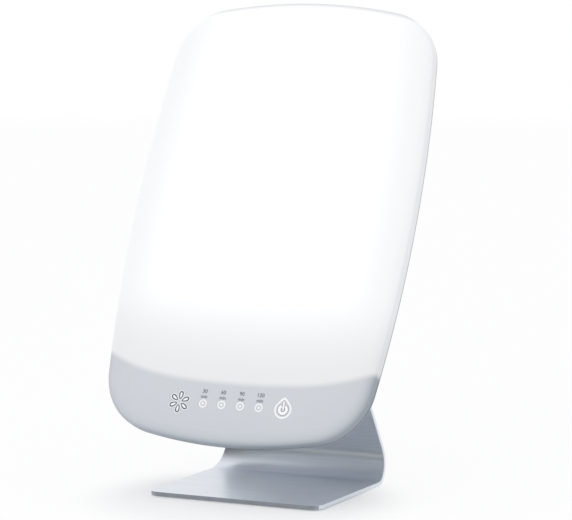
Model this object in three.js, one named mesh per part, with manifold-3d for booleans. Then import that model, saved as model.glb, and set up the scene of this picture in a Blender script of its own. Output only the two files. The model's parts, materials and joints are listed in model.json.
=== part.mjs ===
// Tabletop daylight therapy lamp: a glowing rounded panel, tilted on a bent aluminium stand.
// Units are millimetres. X is to the viewer's right, Y is away from the viewer, Z is up.
// The origin is the middle of the anti-slip mat's underside, on the table.

import * as THREE from 'three';
import { mergeVertices } from 'three/addons/utils/BufferGeometryUtils.js';
import Module from 'manifold-3d';

const wasm = await Module();
wasm.setup();

// Fits
const seatGap = 0.3;
const threadGap = 0.2;
const runningGap = 0.1;
const fuseDepth = 0.6;
const cutOverrun = 3;

// Outline of the head, a rectangle with bowed sides and round corners
const headHalfWidth = 166;
const headHalfHeight = 255.4;
const sideBow = 19.2;
const topBow = 25.5;
const bottomBow = 27;
const topCornerRadius = 63;
const bottomCornerRadius = 68;

// Front cover, a tray of opal plastic
const coverWall = 2.5;
const skirtDepth = 10;
const edgeInset = 13;
const edgeRise = 9;
const crownRise = 5;
const crownShares = [0.68, 0.36];

// Lit zone, which ends above the touch keys in a shallow curve
const keyBandHeight = 63.9;
const litEndRadius = 820;
const litCornerRadius = 110;

// Rear housing, a moulded tray with drafted walls
const housingWall = 2.5;
const housingDepth = 26;
const housingReveal = 0.6;
const housingRimHeight = 1.7;
const draftInset = 19.4;
const backEdgeInset = 4.5;
const backEdgeRise = 3;
const lipWall = 2.1;
const lipRise = 4.5;
const ribHeight = 6;
const ribWall = 1.8;
const ribSpacing = 84;
const ribLow = -20;
const ribHigh = 100;

// Vent slots in the back of the housing
const ventLength = 46;
const ventWidth = 3.4;
const ventPitch = 9;
const ventColumnSpacing = 66;
const ventBelowTop = 59.4;
const ventUpperRows = 6;
const ventAboveBottom = 137.4;
const ventLowerRows = 3;
const ventColumns = 3;

// Case screws, from behind into posts of the cover
const postRadius = 3.2;
const postInset = 10;
const postFromSide = 66;
const postSideUp = 20;
const postHoleGap = 0.6;
const pocketRadius = 4.2;
const pocketFloor = 3.4;
const screwBossRadius = 6.4;
const caseScrewRadius = 1.5;
const caseScrewHeadRadius = 3.2;
const caseScrewHeadHeight = 2.2;
const caseScrewReach = 8;

// Reflector tray and the diffuser sheet that lies on its flange
const trayWall = 1.2;
const flangeWidth = 13.2;
const trayRun = 16;
const trayDepth = 20;
const sheetThickness = 1.5;
const trayScrewAcross = 74;
const trayBossRadius = 4;
const trayScrewRadius = 1.5;
const trayScrewHeadRadius = 3;
const trayScrewHeadHeight = 1.8;
const trayScrewReach = 5;

// Light strips on the tray floor
const stripCount = 6;
const stripWidth = 12;
const stripThickness = 1.2;
const stripEndMargin = 9;
const stripRowMargin = 16;
const emitterPitch = 17;
const emitterLength = 3.5;
const emitterWidth = 2.8;
const emitterHeight = 0.8;
const emitterEndMargin = 8;

// Light baffle, a thin wall between the lit zone and the keys
const baffleWall = 2;
const baffleOffset = 0.5;
const baffleFootWidth = 9;
const baffleFootHeight = 1.8;
const baffleEndGap = 3.2;
const baffleStartShare = -0.2;

// Touch keys and timer lights, in one row under the lit zone
const keyRowAboveBottom = 41.5;
const keyRowShift = 1.7;
const keySpread = 61.3;
const timerPitch = 22;
const timerCount = 4;
const timerLightHeight = 0.7;
const timerLightSize = 1.6;
const pipeRadius = 2.2;
const pipeFlangeRadius = 3.2;
const pipeFlangeHeight = 1.2;
const touchPadRadius = 6;

// Control board behind the keys
const controlBoardTop = 3;
const boardThickness = 1.6;
const controlBoardWidth = 178;
const controlBoardHeight = 30;
const controlPostInset = 7;
const boardCorner = 2;
const boardPostRadius = 3;
const boardPegRadius = 1.3;
const boardPegReach = 1.6;
const boardHoleGap = 0.3;

// Driver board in the bottom of the housing
const controlLeadAcross = -26;
const controlLeadSway = 6;
const driverWidth = 128;
const driverHeight = 46;
const driverAboveBottom = 51.4;
const driverStandoff = 3;
const driverPostInset = 5;
const capacitorRadius = 6.3;
const capacitorHeight = 15;
const capacitorAcross = 22;
const capacitorUp = 4;
const inductorRadius = 8;
const inductorHeight = 9;
const inductorWaist = 5.6;
const inductorFlange = 1.4;
const inductorAcross = -4;
const inductorUp = -2;
const connectorLength = 14;
const connectorWidth = 6;
const connectorHeight = 7;
const connectorFromEnd = 16;
const connectorFromEdge = 9;
const connectorWall = 1;

// Power inlet, a low-voltage jack in the back of the housing
const inletFromSide = 66;
const inletAboveBottom = 59.4;
const inletThreadRadius = 5.5;
const inletBodyLength = 14;
const inletCollarRadius = 7.5;
const inletCollarHeight = 2;
const inletBoreRadius = 3.2;
const inletBoreDepth = 9;
const inletPinRadius = 1.05;
const inletPinSetback = 1;
const inletNutRadius = 8;
const inletNutHeight = 2.4;
const inletTagRadius = 2.4;
const inletTagLength = 3;

// Leads inside the head
const leadRadius = 1.5;
const leadSides = 6;
const leadRise = 5;
const leadHoleRadius = 3;
const busRadius = 1.2;
const busPitchShare = 3.25;

// Hinge on the back of the head
const hingeDrop = 64.7;
const hingeSetback = 48;
const earHalfSpan = 38;
const earThickness = 2.5;
const earRadius = 10;
const bracketThickness = 2.5;
const bracketHeight = 42;
const bracketHalfWidth = 58;
const bracketCorner = 5;
const bracketScrewAcross = 49;
const bracketScrewUp = 13;
const bracketScrewRadius = 2;
const bracketScrewHeadRadius = 3.8;
const bracketScrewHeadHeight = 2.6;
const bracketScrewReach = 2;
const hingePlateThickness = 2;
const hingePlateHalfWidth = 64;
const hingePlateHeight = 54;
const hingePinRadius = 4;
const hingePinHeadRadius = 6.6;
const hingePinHeadHeight = 3.6;
const hingeNutRadius = 7.4;
const hingeNutHeight = 5.5;
const pinTail = 1.4;
const frictionWasherRadius = 8;
const frictionWasherThickness = 1.2;
const springWasherThickness = 1.4;
const springWasherRadius = 7;
const headTiltDegrees = 25.75;

// Stand, one aluminium plate with a wide bend
const baseHalfWidth = 102.5;
const baseFlatLength = 156;
const plateThickness = 4.4;
const plateChamfer = 0.5;
const frontCornerRadius = 9;
const topCornerRounding = 12;
const bendRadius = 26;
const uprightLeanDegrees = 17.5;
const uprightTaperDegrees = 9.3;
const taperSetback = 7;
const uprightToHinge = 190.3;
const uprightAboveHinge = 16;
const matThickness = 1;
const matInset = 6;

// Hinge block on the front of the upright
const blockStandoff = 14;
const barrelRadius = 8;
const blockFootHalfHeight = 13;
const blockFootThickness = 5;
const blockScrewAcross = 27;
const blockScrewUp = 8;
const blockScrewRadius = 2;
const blockScrewHeadRadius = 4;
const blockScrewHeadHeight = 2.2;
const blockScrewReach = 3.4;
const socketRadius = 1.3;
const socketDepth = 1.2;

// Facet counts
const sideSteps = 3;
const cornerSteps = 6;
const endSteps = 3;
const edgeSteps = 4;
const bendSteps = 12;
const roundSides = 14;
const smallSides = 8;
const pinSides = 20;
const hexSides = 6;
const slotSteps = 2;
const leadSteps = 16;
const cornerArcSteps = 2;
const profileArcSteps = 5;

// Places in the head that follow its outline, measured from its middle
const litReach = headHalfHeight - keyBandHeight;
const keyRowDrop = headHalfHeight - keyRowAboveBottom;
const driverDrop = headHalfHeight - driverAboveBottom;
const inletAcross = headHalfWidth - inletFromSide;
const inletDrop = headHalfHeight - inletAboveBottom;
const ventUpperRow = headHalfHeight - ventBelowTop;
const ventLowerRow = ventAboveBottom - headHalfHeight;
const postTopAcross = headHalfWidth - postFromSide;
const connectorAcross = driverWidth / 2 - connectorFromEnd;
const connectorUp = driverHeight / 2 - connectorFromEdge;

// Levels in the head, measured from the plane where the cover's edge starts to curve
const housingTop = -skirtDepth - seatGap;
const lipTop = -skirtDepth + lipRise;
const lipInset = coverWall + seatGap;
const flangeBottom = lipTop + seatGap;
const flangeTop = flangeBottom + trayWall;
const sheetBottom = flangeTop + seatGap;
const floorTop = flangeTop - trayDepth;
const floorBottom = floorTop - trayWall;
const housingBack = -skirtDepth - housingDepth;
const housingInside = housingBack + housingWall;
const draftTop = housingTop - housingRimHeight;
const draftBottom = housingBack + backEdgeRise;
const driverBottom = housingInside + driverStandoff;
const driverTop = driverBottom + boardThickness;
const controlTop = -controlBoardTop;
const controlBottom = controlTop - boardThickness;
const bracketBack = housingBack - seatGap - bracketThickness;

// Materials
const finishes = {
  opal: { color: '#f4f6f8', roughness: 0.35, metalness: 0 },
  film: { color: '#fbfcfd', roughness: 0.6, metalness: 0 },
  whitePlastic: { color: '#eceef0', roughness: 0.45, metalness: 0 },
  reflector: { color: '#fafafa', roughness: 0.7, metalness: 0 },
  board: { color: '#2f6b4a', roughness: 0.5, metalness: 0 },
  whiteBoard: { color: '#f2f3f0', roughness: 0.5, metalness: 0 },
  acrylic: { color: '#e6eef2', roughness: 0.1, metalness: 0 },
  foam: { color: '#4a4d50', roughness: 0.9, metalness: 0 },
  blackPlastic: { color: '#1c1d1f', roughness: 0.5, metalness: 0 },
  copper: { color: '#a8683a', roughness: 0.4, metalness: 0.8 },
  steel: { color: '#b8bcc0', roughness: 0.35, metalness: 1 },
  aluminium: { color: '#b9c0c7', roughness: 0.38, metalness: 1 },
  rubber: { color: '#222426', roughness: 0.95, metalness: 0 },
};

// Turn a closed geometry into a solid that can be joined and cut
function solidOf(geometry) {
  const bare = geometry.clone();
  bare.deleteAttribute('normal');
  bare.deleteAttribute('uv');
  const merged = mergeVertices(bare);
  return new wasm.Manifold(new wasm.Mesh({
    numProp: 3,
    vertProperties: new Float32Array(merged.attributes.position.array),
    triVerts: new Uint32Array(merged.index.array),
  }));
}

// Turn a solid back into a geometry
function geometryOf(solid) {
  const mesh = solid.getMesh();
  const geometry = new THREE.BufferGeometry();
  geometry.setAttribute('position', new THREE.BufferAttribute(mesh.vertProperties, 3));
  geometry.setIndex(new THREE.BufferAttribute(mesh.triVerts, 1));
  return geometry;
}

function shaped(base, additions, cuts) {
  let solid = solidOf(base);
  for (const addition of additions) {
    solid = solid.add(solidOf(addition));
  }
  for (const cut of cuts) {
    solid = solid.subtract(solidOf(cut));
  }
  return geometryOf(solid);
}

function common(first, second) {
  return geometryOf(solidOf(first).intersect(solidOf(second)));
}

// Round bar along Z
function bar(radius, bottom, top, x, y, sides = roundSides) {
  const geometry = new THREE.CylinderGeometry(radius, radius, top - bottom, sides);
  geometry.rotateX(Math.PI / 2);
  geometry.translate(x, y, (bottom + top) / 2);
  return geometry;
}

// Round bar along X, on the line at y and z
function crossBar(radius, left, right, y, z, sides = pinSides) {
  const geometry = new THREE.CylinderGeometry(radius, radius, right - left, sides);
  geometry.rotateZ(Math.PI / 2);
  geometry.translate((left + right) / 2, y, z);
  return geometry;
}

function block(width, height, bottom, top, x, y) {
  const geometry = new THREE.BoxGeometry(width, height, top - bottom);
  geometry.translate(x, y, (bottom + top) / 2);
  return geometry;
}

// Rectangle with round corners, raised from bottom to top
function slab(width, height, corner, bottom, top, x, y) {
  const right = width / 2 - corner;
  const up = height / 2 - corner;
  const shape = new THREE.Shape();
  shape.absarc(right, -up, corner, -Math.PI / 2, 0);
  shape.absarc(right, up, corner, 0, Math.PI / 2);
  shape.absarc(-right, up, corner, Math.PI / 2, Math.PI);
  shape.absarc(-right, -up, corner, Math.PI, Math.PI * 1.5);
  const geometry = new THREE.ExtrudeGeometry(shape, {
    depth: top - bottom, bevelEnabled: false, curveSegments: cornerArcSteps,
  });
  geometry.translate(x, y, bottom);
  return geometry;
}

// Turned piece along Z from pairs of radius and height
function turned(profile, sides = roundSides) {
  const points = profile.map(([radius, height]) => new THREE.Vector2(radius, height));
  const geometry = new THREE.LatheGeometry(points, sides);
  geometry.rotateX(Math.PI / 2);
  return geometry;
}

// Profile drawn in Y and Z, extruded along X about the middle
function extrudedAcross(shape, length) {
  const geometry = new THREE.ExtrudeGeometry(shape, {
    depth: length, bevelEnabled: false, curveSegments: profileArcSteps,
  });
  geometry.translate(0, 0, -length / 2);
  const yAxis = new THREE.Vector3(0, 1, 0);
  const zAxis = new THREE.Vector3(0, 0, 1);
  const xAxis = new THREE.Vector3(1, 0, 0);
  geometry.applyMatrix4(new THREE.Matrix4().makeBasis(yAxis, zAxis, xAxis));
  return geometry;
}

// Skin over a row of rings of points. A ring of one point is a pole.
function loft(rings, joinEnds = false) {
  const positions = [];
  const indices = [];
  const starts = [];
  for (const ring of rings) {
    starts.push(positions.length / 3);
    for (const point of ring) {
      positions.push(point.x, point.y, point.z);
    }
  }
  const bands = joinEnds ? rings.length : rings.length - 1;
  for (let band = 0; band < bands; band += 1) {
    const next = (band + 1) % rings.length;
    const lower = rings[band];
    const upper = rings[next];
    const count = Math.max(lower.length, upper.length);
    for (let k = 0; k < count; k += 1) {
      const a = starts[band] + (k % lower.length);
      const b = starts[band] + ((k + 1) % lower.length);
      const c = starts[next] + (k % upper.length);
      const d = starts[next] + ((k + 1) % upper.length);
      if (lower.length > 1) {
        indices.push(a, b, d);
      }
      if (upper.length > 1) {
        indices.push(a, d, c);
      }
    }
  }
  const geometry = new THREE.BufferGeometry();
  geometry.setAttribute('position', new THREE.Float32BufferAttribute(positions, 3));
  geometry.setIndex(indices);
  return geometry;
}

// Flat caps for a skin whose first and last rings are one section of any outline
function cappedSweep(sections, contour) {
  const geometry = loft(sections);
  const indices = Array.from(geometry.index.array);
  const faces = THREE.ShapeUtils.triangulateShape(contour, []);
  const last = (sections.length - 1) * contour.length;
  for (const [a, b, c] of faces) {
    indices.push(c, b, a);
    indices.push(last + a, last + b, last + c);
  }
  geometry.setIndex(indices);
  return geometry;
}

// Side arc, corner arc and end arc of one quarter of a bowed outline, each tangent to the next
function quarterStations(halfWidth, reach, sideRadius, endRadius, cornerRadius) {
  const sideCentre = new THREE.Vector2(halfWidth - sideRadius, 0);
  const endCentre = new THREE.Vector2(0, reach - endRadius);
  const toEnd = endCentre.clone().sub(sideCentre);
  const span = toEnd.length();
  const fromSide = sideRadius - cornerRadius;
  const fromEnd = endRadius - cornerRadius;
  const along = (fromSide ** 2 - fromEnd ** 2 + span ** 2) / (2 * span);
  const across = Math.sqrt(fromSide ** 2 - along ** 2);
  const unit = toEnd.clone().normalize();
  const normal = new THREE.Vector2(-unit.y, unit.x);
  const side = Math.sign(normal.x + normal.y);
  const cornerCentre = sideCentre.clone()
    .addScaledVector(unit, along)
    .addScaledVector(normal, side * across);
  const sideTurn = cornerCentre.clone().sub(sideCentre).angle();
  const endTurn = cornerCentre.clone().sub(endCentre).angle();
  const arcs = [
    { centre: sideCentre, radius: sideRadius, from: 0, to: sideTurn, steps: sideSteps },
    { centre: cornerCentre, radius: cornerRadius, from: sideTurn, to: endTurn, steps: cornerSteps },
    { centre: endCentre, radius: endRadius, from: endTurn, to: Math.PI / 2, steps: endSteps },
  ];
  const stations = [];
  for (const { centre, radius, from, to, steps } of arcs) {
    for (let k = 0; k < steps; k += 1) {
      stations.push({ centre, radius, angle: from + ((to - from) * k) / steps });
    }
  }
  stations.push({ centre: endCentre, radius: endRadius, angle: Math.PI / 2 });
  return stations;
}

function mirroredStations(stations, flipX, flipY) {
  return stations.map(({ centre, radius, angle }) => {
    const turn = flipX ? Math.PI - angle : angle;
    return {
      centre: new THREE.Vector2(flipX ? -centre.x : centre.x, flipY ? -centre.y : centre.y),
      radius,
      angle: flipY ? -turn : turn,
    };
  });
}

// All round the outline from the right-hand side, turning left
function fullOutline(topQuarter, bottomQuarter) {
  const topRight = topQuarter.slice(0, -1);
  const topLeft = mirroredStations(topQuarter, true, false).reverse().slice(0, -1);
  const bottomLeft = mirroredStations(bottomQuarter, true, true).slice(0, -1);
  const bottomRight = mirroredStations(bottomQuarter, false, true).reverse().slice(0, -1);
  return [...topRight, ...topLeft, ...bottomLeft, ...bottomRight];
}

const radiusOfBow = (halfChord, bow) => (halfChord ** 2 + bow ** 2) / (2 * bow);
const sideRadius = radiusOfBow(headHalfHeight, sideBow);
const topRadius = radiusOfBow(headHalfWidth, topBow);
const bottomRadius = radiusOfBow(headHalfWidth, bottomBow);
const topQuarter = quarterStations(headHalfWidth, headHalfHeight, sideRadius, topRadius, topCornerRadius);
const bottomQuarter = quarterStations(
  headHalfWidth, headHalfHeight, sideRadius, bottomRadius, bottomCornerRadius,
);
const litQuarter = quarterStations(headHalfWidth, litReach, sideRadius, litEndRadius, litCornerRadius);
const headOutline = fullOutline(topQuarter, bottomQuarter);
const litOutline = fullOutline(topQuarter, litQuarter);

// One ring of an outline, drawn in by inset and raised to height
function ringAt(outline, inset, height) {
  return outline.map(({ centre, radius, angle }) => new THREE.Vector3(
    centre.x + (radius - inset) * Math.cos(angle),
    centre.y + (radius - inset) * Math.sin(angle),
    height,
  ));
}

const poleAt = (height) => [new THREE.Vector3(0, 0, height)];

function scaledRing(ring, share, height) {
  return ring.map((point) => new THREE.Vector3(point.x * share, point.y * share, height));
}

// Half the width of a ring on the line at y
function halfWidthOf(ring, y) {
  let widest = 0;
  ring.forEach((point, k) => {
    const next = ring[(k + 1) % ring.length];
    const crosses = (point.y - y) * (next.y - y) <= 0 && point.y !== next.y;
    if (crosses) {
      const share = (y - point.y) / (next.y - point.y);
      widest = Math.max(widest, point.x + share * (next.x - point.x));
    }
  });
  return widest;
}

// Rings of the cover's face, from the foot of its skirt to the middle of its crown.
// The wall value is how far the surface lies inside the outer one.
function coverRings(wall, foot) {
  const rings = [ringAt(headOutline, wall, foot), ringAt(headOutline, wall, 0)];
  const inset = edgeInset - wall;
  const rise = edgeRise - wall;
  for (let k = 1; k <= edgeSteps; k += 1) {
    const turn = (Math.PI / 2) * (k / edgeSteps);
    rings.push(ringAt(headOutline, wall + inset * (1 - Math.cos(turn)), rise * Math.sin(turn)));
  }
  const rim = rings[rings.length - 1];
  for (const share of crownShares) {
    rings.push(scaledRing(rim, share, rise + crownRise * (1 - share ** 2)));
  }
  rings.push(poleAt(rise + crownRise));
  return rings;
}

// The space inside the cover, kept clear of its wall by gap
function coverSpace(gap, foot = -skirtDepth) {
  return loft([poleAt(foot), ...coverRings(coverWall + gap, foot)]);
}

// Height on an end arc of the head, inset from the edge, at a distance from the middle
function endHeightAt(radius, inset, across) {
  return headHalfHeight - radius + Math.sqrt((radius - inset) ** 2 - across ** 2);
}

function sideReachAt(inset, up) {
  return headHalfWidth - sideRadius + Math.sqrt((sideRadius - inset) ** 2 - up ** 2);
}

// Case screws: two along the top, two at the sides and two along the bottom
function casePosts() {
  const top = endHeightAt(topRadius, postInset, postTopAcross);
  const bottom = -endHeightAt(bottomRadius, postInset, postTopAcross);
  const side = sideReachAt(postInset, postSideUp);
  const posts = [];
  for (const hand of [-1, 1]) {
    posts.push({ x: hand * postTopAcross, y: top, lit: true });
    posts.push({ x: hand * side, y: postSideUp, lit: true });
    posts.push({ x: hand * postTopAcross, y: bottom, lit: false });
  }
  return posts;
}

const timerPlaces = () => Array.from({ length: timerCount }, (_, k) => (
  keyRowShift + (k - (timerCount - 1) / 2) * timerPitch
));

const keyPlaces = () => [keyRowShift - keySpread, keyRowShift + keySpread];

function diffuserCover() {
  const outer = coverRings(0, -skirtDepth);
  const inner = coverRings(coverWall, -skirtDepth).reverse();
  const shell = loft([...outer, ...inner], true);
  const space = coverSpace(-fuseDepth);
  const posts = casePosts().map(({ x, y }) => (
    common(bar(postRadius, -skirtDepth, edgeRise + crownRise, x, y, smallSides), space)
  ));
  const pilotEnd = housingTop + caseScrewReach;
  const pilots = casePosts().map(({ x, y }) => (
    bar(caseScrewRadius + threadGap, -skirtDepth - cutOverrun, pilotEnd, x, y, smallSides)
  ));
  return shaped(shell, posts, pilots);
}

function litPostHoles(bottom, top) {
  return casePosts().filter(({ lit }) => lit).map(({ x, y }) => (
    bar(postRadius + postHoleGap, bottom - cutOverrun, top + cutOverrun, x, y, smallSides)
  ));
}

function diffuserSheet() {
  const top = sheetBottom + sheetThickness;
  const plate = loft([
    poleAt(sheetBottom),
    ringAt(litOutline, lipInset, sheetBottom),
    ringAt(litOutline, lipInset, top),
    poleAt(top),
  ]);
  return shaped(plate, [], litPostHoles(sheetBottom, top));
}

// Places for the screws that hold the tray: between the light strips
function trayScrews() {
  const rows = stripRows();
  const low = (rows[1] + rows[2]) / 2;
  const high = (rows[stripCount - 2] + rows[stripCount - 3]) / 2;
  const places = [];
  for (const y of [low, high]) {
    for (const hand of [-1, 1]) {
      places.push({ x: hand * trayScrewAcross, y });
    }
  }
  return places;
}

const trayFloorInset = lipInset + flangeWidth + trayRun;

function stripRows() {
  const low = trayFloorInset + stripRowMargin - litReach;
  const high = headHalfHeight - trayFloorInset - stripRowMargin;
  return Array.from({ length: stripCount }, (_, k) => low + ((high - low) * k) / (stripCount - 1));
}

function stripHalfLength(y) {
  const floor = ringAt(litOutline, trayFloorInset, floorTop);
  const edge = stripWidth / 2;
  const narrow = Math.min(halfWidthOf(floor, y - edge), halfWidthOf(floor, y + edge));
  return narrow - stripEndMargin;
}

// The lead to the light strips passes through the tray below the first of them
function leadHole() {
  const [firstRow] = stripRows();
  return {
    x: -emitterPitch * busPitchShare,
    y: firstRow - stripWidth / 2 - leadHoleRadius - seatGap,
  };
}

function reflectorTray() {
  const slant = Math.hypot(trayRun, trayDepth);
  const shift = (trayWall * (slant - trayRun)) / trayDepth;
  const flangeInner = lipInset + flangeWidth;
  const pan = loft([
    ringAt(litOutline, lipInset, flangeBottom),
    ringAt(litOutline, lipInset, flangeTop),
    ringAt(litOutline, flangeInner, flangeTop),
    ringAt(litOutline, trayFloorInset, floorTop),
    poleAt(floorTop),
    poleAt(floorBottom),
    ringAt(litOutline, trayFloorInset - shift, floorBottom),
    ringAt(litOutline, flangeInner - shift, flangeBottom),
  ], true);
  const holes = trayScrews().map(({ x, y }) => (
    bar(trayScrewRadius + seatGap, floorBottom - cutOverrun, floorTop + cutOverrun, x, y, smallSides)
  ));
  const { x, y } = leadHole();
  holes.push(bar(leadHoleRadius, floorBottom - cutOverrun, floorTop + cutOverrun, x, y, smallSides));
  return shaped(pan, [], [...holes, ...litPostHoles(flangeBottom, flangeTop)]);
}

// A strip is a narrow board with a row of light emitters
function lightStrip(y) {
  const halfLength = stripHalfLength(y);
  const bottom = floorTop + seatGap;
  const top = bottom + stripThickness;
  const board = block(halfLength * 2, stripWidth, bottom, top, 0, y);
  const usable = (halfLength - emitterEndMargin) * 2;
  const count = Math.floor(usable / emitterPitch) + 1;
  const emitters = [];
  for (let k = 0; k < count; k += 1) {
    const x = (k - (count - 1) / 2) * emitterPitch;
    emitters.push(block(emitterLength, emitterWidth, top - fuseDepth, top + emitterHeight, x, y));
  }
  return shaped(board, emitters, []);
}

// A straight lead that crosses all the strips between their emitters
function stripBus() {
  const { x, y } = leadHole();
  const rows = stripRows();
  const start = y + leadRadius + seatGap;
  const end = rows[stripCount - 1] + stripWidth / 2;
  const bus = new THREE.CylinderGeometry(busRadius, busRadius, end - start, smallSides);
  bus.translate(x, (start + end) / 2, floorTop + seatGap + stripThickness + seatGap + busRadius);
  return bus;
}

// An L section follows the lower edge of the lit zone, and its top is trimmed to the cover
function lightBaffle() {
  const outside = baffleOffset;
  const inside = baffleOffset + baffleWall;
  const footTop = flangeBottom - seatGap;
  const footBottom = footTop - baffleFootHeight;
  const section = [
    [outside, edgeRise + crownRise],
    [outside, footBottom],
    [inside + baffleFootWidth, footBottom],
    [inside + baffleFootWidth, footTop],
    [inside, footTop],
    [inside, edgeRise + crownRise],
  ];
  const lowerStations = litOutline.filter(({ angle }) => Math.sin(angle) < baffleStartShare);
  const sections = lowerStations.map(({ centre, radius, angle }) => section.map(([inset, height]) => (
    new THREE.Vector3(
      centre.x + (radius - inset) * Math.cos(angle),
      centre.y + (radius - inset) * Math.sin(angle),
      height,
    )
  )));
  const contour = section.map(([inset, height]) => new THREE.Vector2(inset, height));
  const wall = cappedSweep(sections, contour);
  const clear = ringAt(headOutline, lipInset + lipWall + baffleEndGap, 0);
  const walls = loft([
    poleAt(footBottom - cutOverrun),
    clear.map((point) => new THREE.Vector3(point.x, point.y, footBottom - cutOverrun)),
    clear.map((point) => new THREE.Vector3(point.x, point.y, edgeRise + crownRise)),
    poleAt(edgeRise + crownRise),
  ]);
  return common(common(wall, coverSpace(seatGap)), walls);
}

function controlBoard() {
  const y = -keyRowDrop;
  const board = slab(
    controlBoardWidth, controlBoardHeight, boardCorner, controlBottom, controlTop, keyRowShift, y,
  );
  const lights = timerPlaces().map((x) => (
    block(timerLightSize, timerLightSize, controlTop - fuseDepth, controlTop + timerLightHeight, x, y)
  ));
  const holes = controlPosts().map((post) => (
    bar(boardPegRadius + boardHoleGap, controlBottom - cutOverrun, controlTop + cutOverrun,
      post.x, post.y, smallSides)
  ));
  return shaped(board, lights, holes);
}

function cornerPlaces(width, height, inset, x, y) {
  const places = [];
  for (const across of [-1, 1]) {
    for (const up of [-1, 1]) {
      places.push({ x: x + across * (width / 2 - inset), y: y + up * (height / 2 - inset) });
    }
  }
  return places;
}

const controlPosts = () => cornerPlaces(
  controlBoardWidth, controlBoardHeight, controlPostInset, keyRowShift, -keyRowDrop,
);

const driverPosts = () => cornerPlaces(driverWidth, driverHeight, driverPostInset, 0, -driverDrop);

function lightPipe(x) {
  const bottom = controlTop + timerLightHeight + seatGap;
  const pipe = turned([
    [0, bottom],
    [pipeFlangeRadius, bottom],
    [pipeFlangeRadius, bottom + pipeFlangeHeight],
    [pipeRadius, bottom + pipeFlangeHeight],
    [pipeRadius, edgeRise + crownRise],
    [0, edgeRise + crownRise],
  ], smallSides);
  pipe.translate(x, -keyRowDrop, 0);
  return common(pipe, coverSpace(seatGap));
}

function touchPad(x) {
  const pad = bar(touchPadRadius, controlTop + seatGap, edgeRise + crownRise, x, -keyRowDrop);
  return common(pad, coverSpace(seatGap));
}

function driverBoard() {
  const board = slab(driverWidth, driverHeight, boardCorner, driverBottom, driverTop, 0, -driverDrop);
  const holes = driverPosts().map(({ x, y }) => (
    bar(boardPegRadius + boardHoleGap, driverBottom - cutOverrun, driverTop + cutOverrun, x, y, smallSides)
  ));
  return shaped(board, [], holes);
}

function driverCapacitor() {
  const bottom = driverTop + seatGap;
  return bar(
    capacitorRadius, bottom, bottom + capacitorHeight, capacitorAcross, capacitorUp - driverDrop,
  );
}

// A drum core, with its winding between two flanges
function driverInductor() {
  const bottom = driverTop + seatGap;
  const top = bottom + inductorHeight;
  const drum = turned([
    [0, bottom],
    [inductorRadius, bottom],
    [inductorRadius, bottom + inductorFlange],
    [inductorWaist, bottom + inductorFlange],
    [inductorWaist, top - inductorFlange],
    [inductorRadius, top - inductorFlange],
    [inductorRadius, top],
    [0, top],
  ]);
  drum.translate(inductorAcross, inductorUp - driverDrop, 0);
  return drum;
}

// An open-topped header, entered by its lead from above
function leadConnector(hand) {
  const bottom = driverTop + seatGap;
  const top = bottom + connectorHeight;
  const x = hand * connectorAcross;
  const y = connectorUp - driverDrop;
  const inside = connectorWall * 2;
  const shell = block(connectorLength, connectorWidth, bottom, top, x, y);
  const well = block(
    connectorLength - inside, connectorWidth - inside, bottom + connectorWall, top + cutOverrun, x, y,
  );
  return shaped(shell, [], [well]);
}

function stadium(length, width) {
  const half = (length - width) / 2;
  const shape = new THREE.Shape();
  shape.absarc(half, 0, width / 2, -Math.PI / 2, Math.PI / 2);
  shape.absarc(-half, 0, width / 2, Math.PI / 2, Math.PI * 1.5);
  return shape;
}

// A block of vent slots, from its top row downwards
function ventCuts(topRow, rows) {
  const cuts = [];
  for (let row = 0; row < rows; row += 1) {
    for (let column = 0; column < ventColumns; column += 1) {
      const cut = new THREE.ExtrudeGeometry(stadium(ventLength, ventWidth), {
        depth: housingWall + cutOverrun * 2, bevelEnabled: false, curveSegments: slotSteps,
      });
      const x = (column - (ventColumns - 1) / 2) * ventColumnSpacing;
      cut.translate(x, topRow - row * ventPitch, housingBack - cutOverrun);
      cuts.push(cut);
    }
  }
  return cuts;
}

const bracketScrews = () => {
  const places = [];
  for (const across of [-1, 1]) {
    for (const up of [-1, 1]) {
      places.push({ x: across * bracketScrewAcross, y: up * bracketScrewUp - hingeDrop });
    }
  }
  return places;
};

// A post for a board: a shoulder that the board lies on, and a peg through its hole
function boardPost(place, boardBottom) {
  const profile = [
    [0, housingInside - fuseDepth],
    [boardPostRadius, housingInside - fuseDepth],
    [boardPostRadius, boardBottom - seatGap],
    [boardPegRadius, boardBottom - seatGap],
    [boardPegRadius, boardBottom + boardThickness + boardPegReach],
    [0, boardBottom + boardThickness + boardPegReach],
  ];
  const post = turned(profile, smallSides);
  post.translate(place.x, place.y, 0);
  return post;
}

// The outer skin of the rear housing, closed in front, trims what stands on its walls
function housingOuterRings() {
  const straight = housingReveal;
  const slopeEnd = straight + draftInset;
  const roundEnd = slopeEnd + backEdgeInset;
  return [
    poleAt(housingBack),
    ringAt(headOutline, roundEnd, housingBack),
    ringAt(headOutline, slopeEnd + backEdgeInset * (1 - Math.SQRT1_2),
      housingBack + backEdgeRise * (1 - Math.SQRT1_2)),
    ringAt(headOutline, slopeEnd, draftBottom),
    ringAt(headOutline, straight, draftTop),
    ringAt(headOutline, straight, housingTop),
  ];
}

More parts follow.
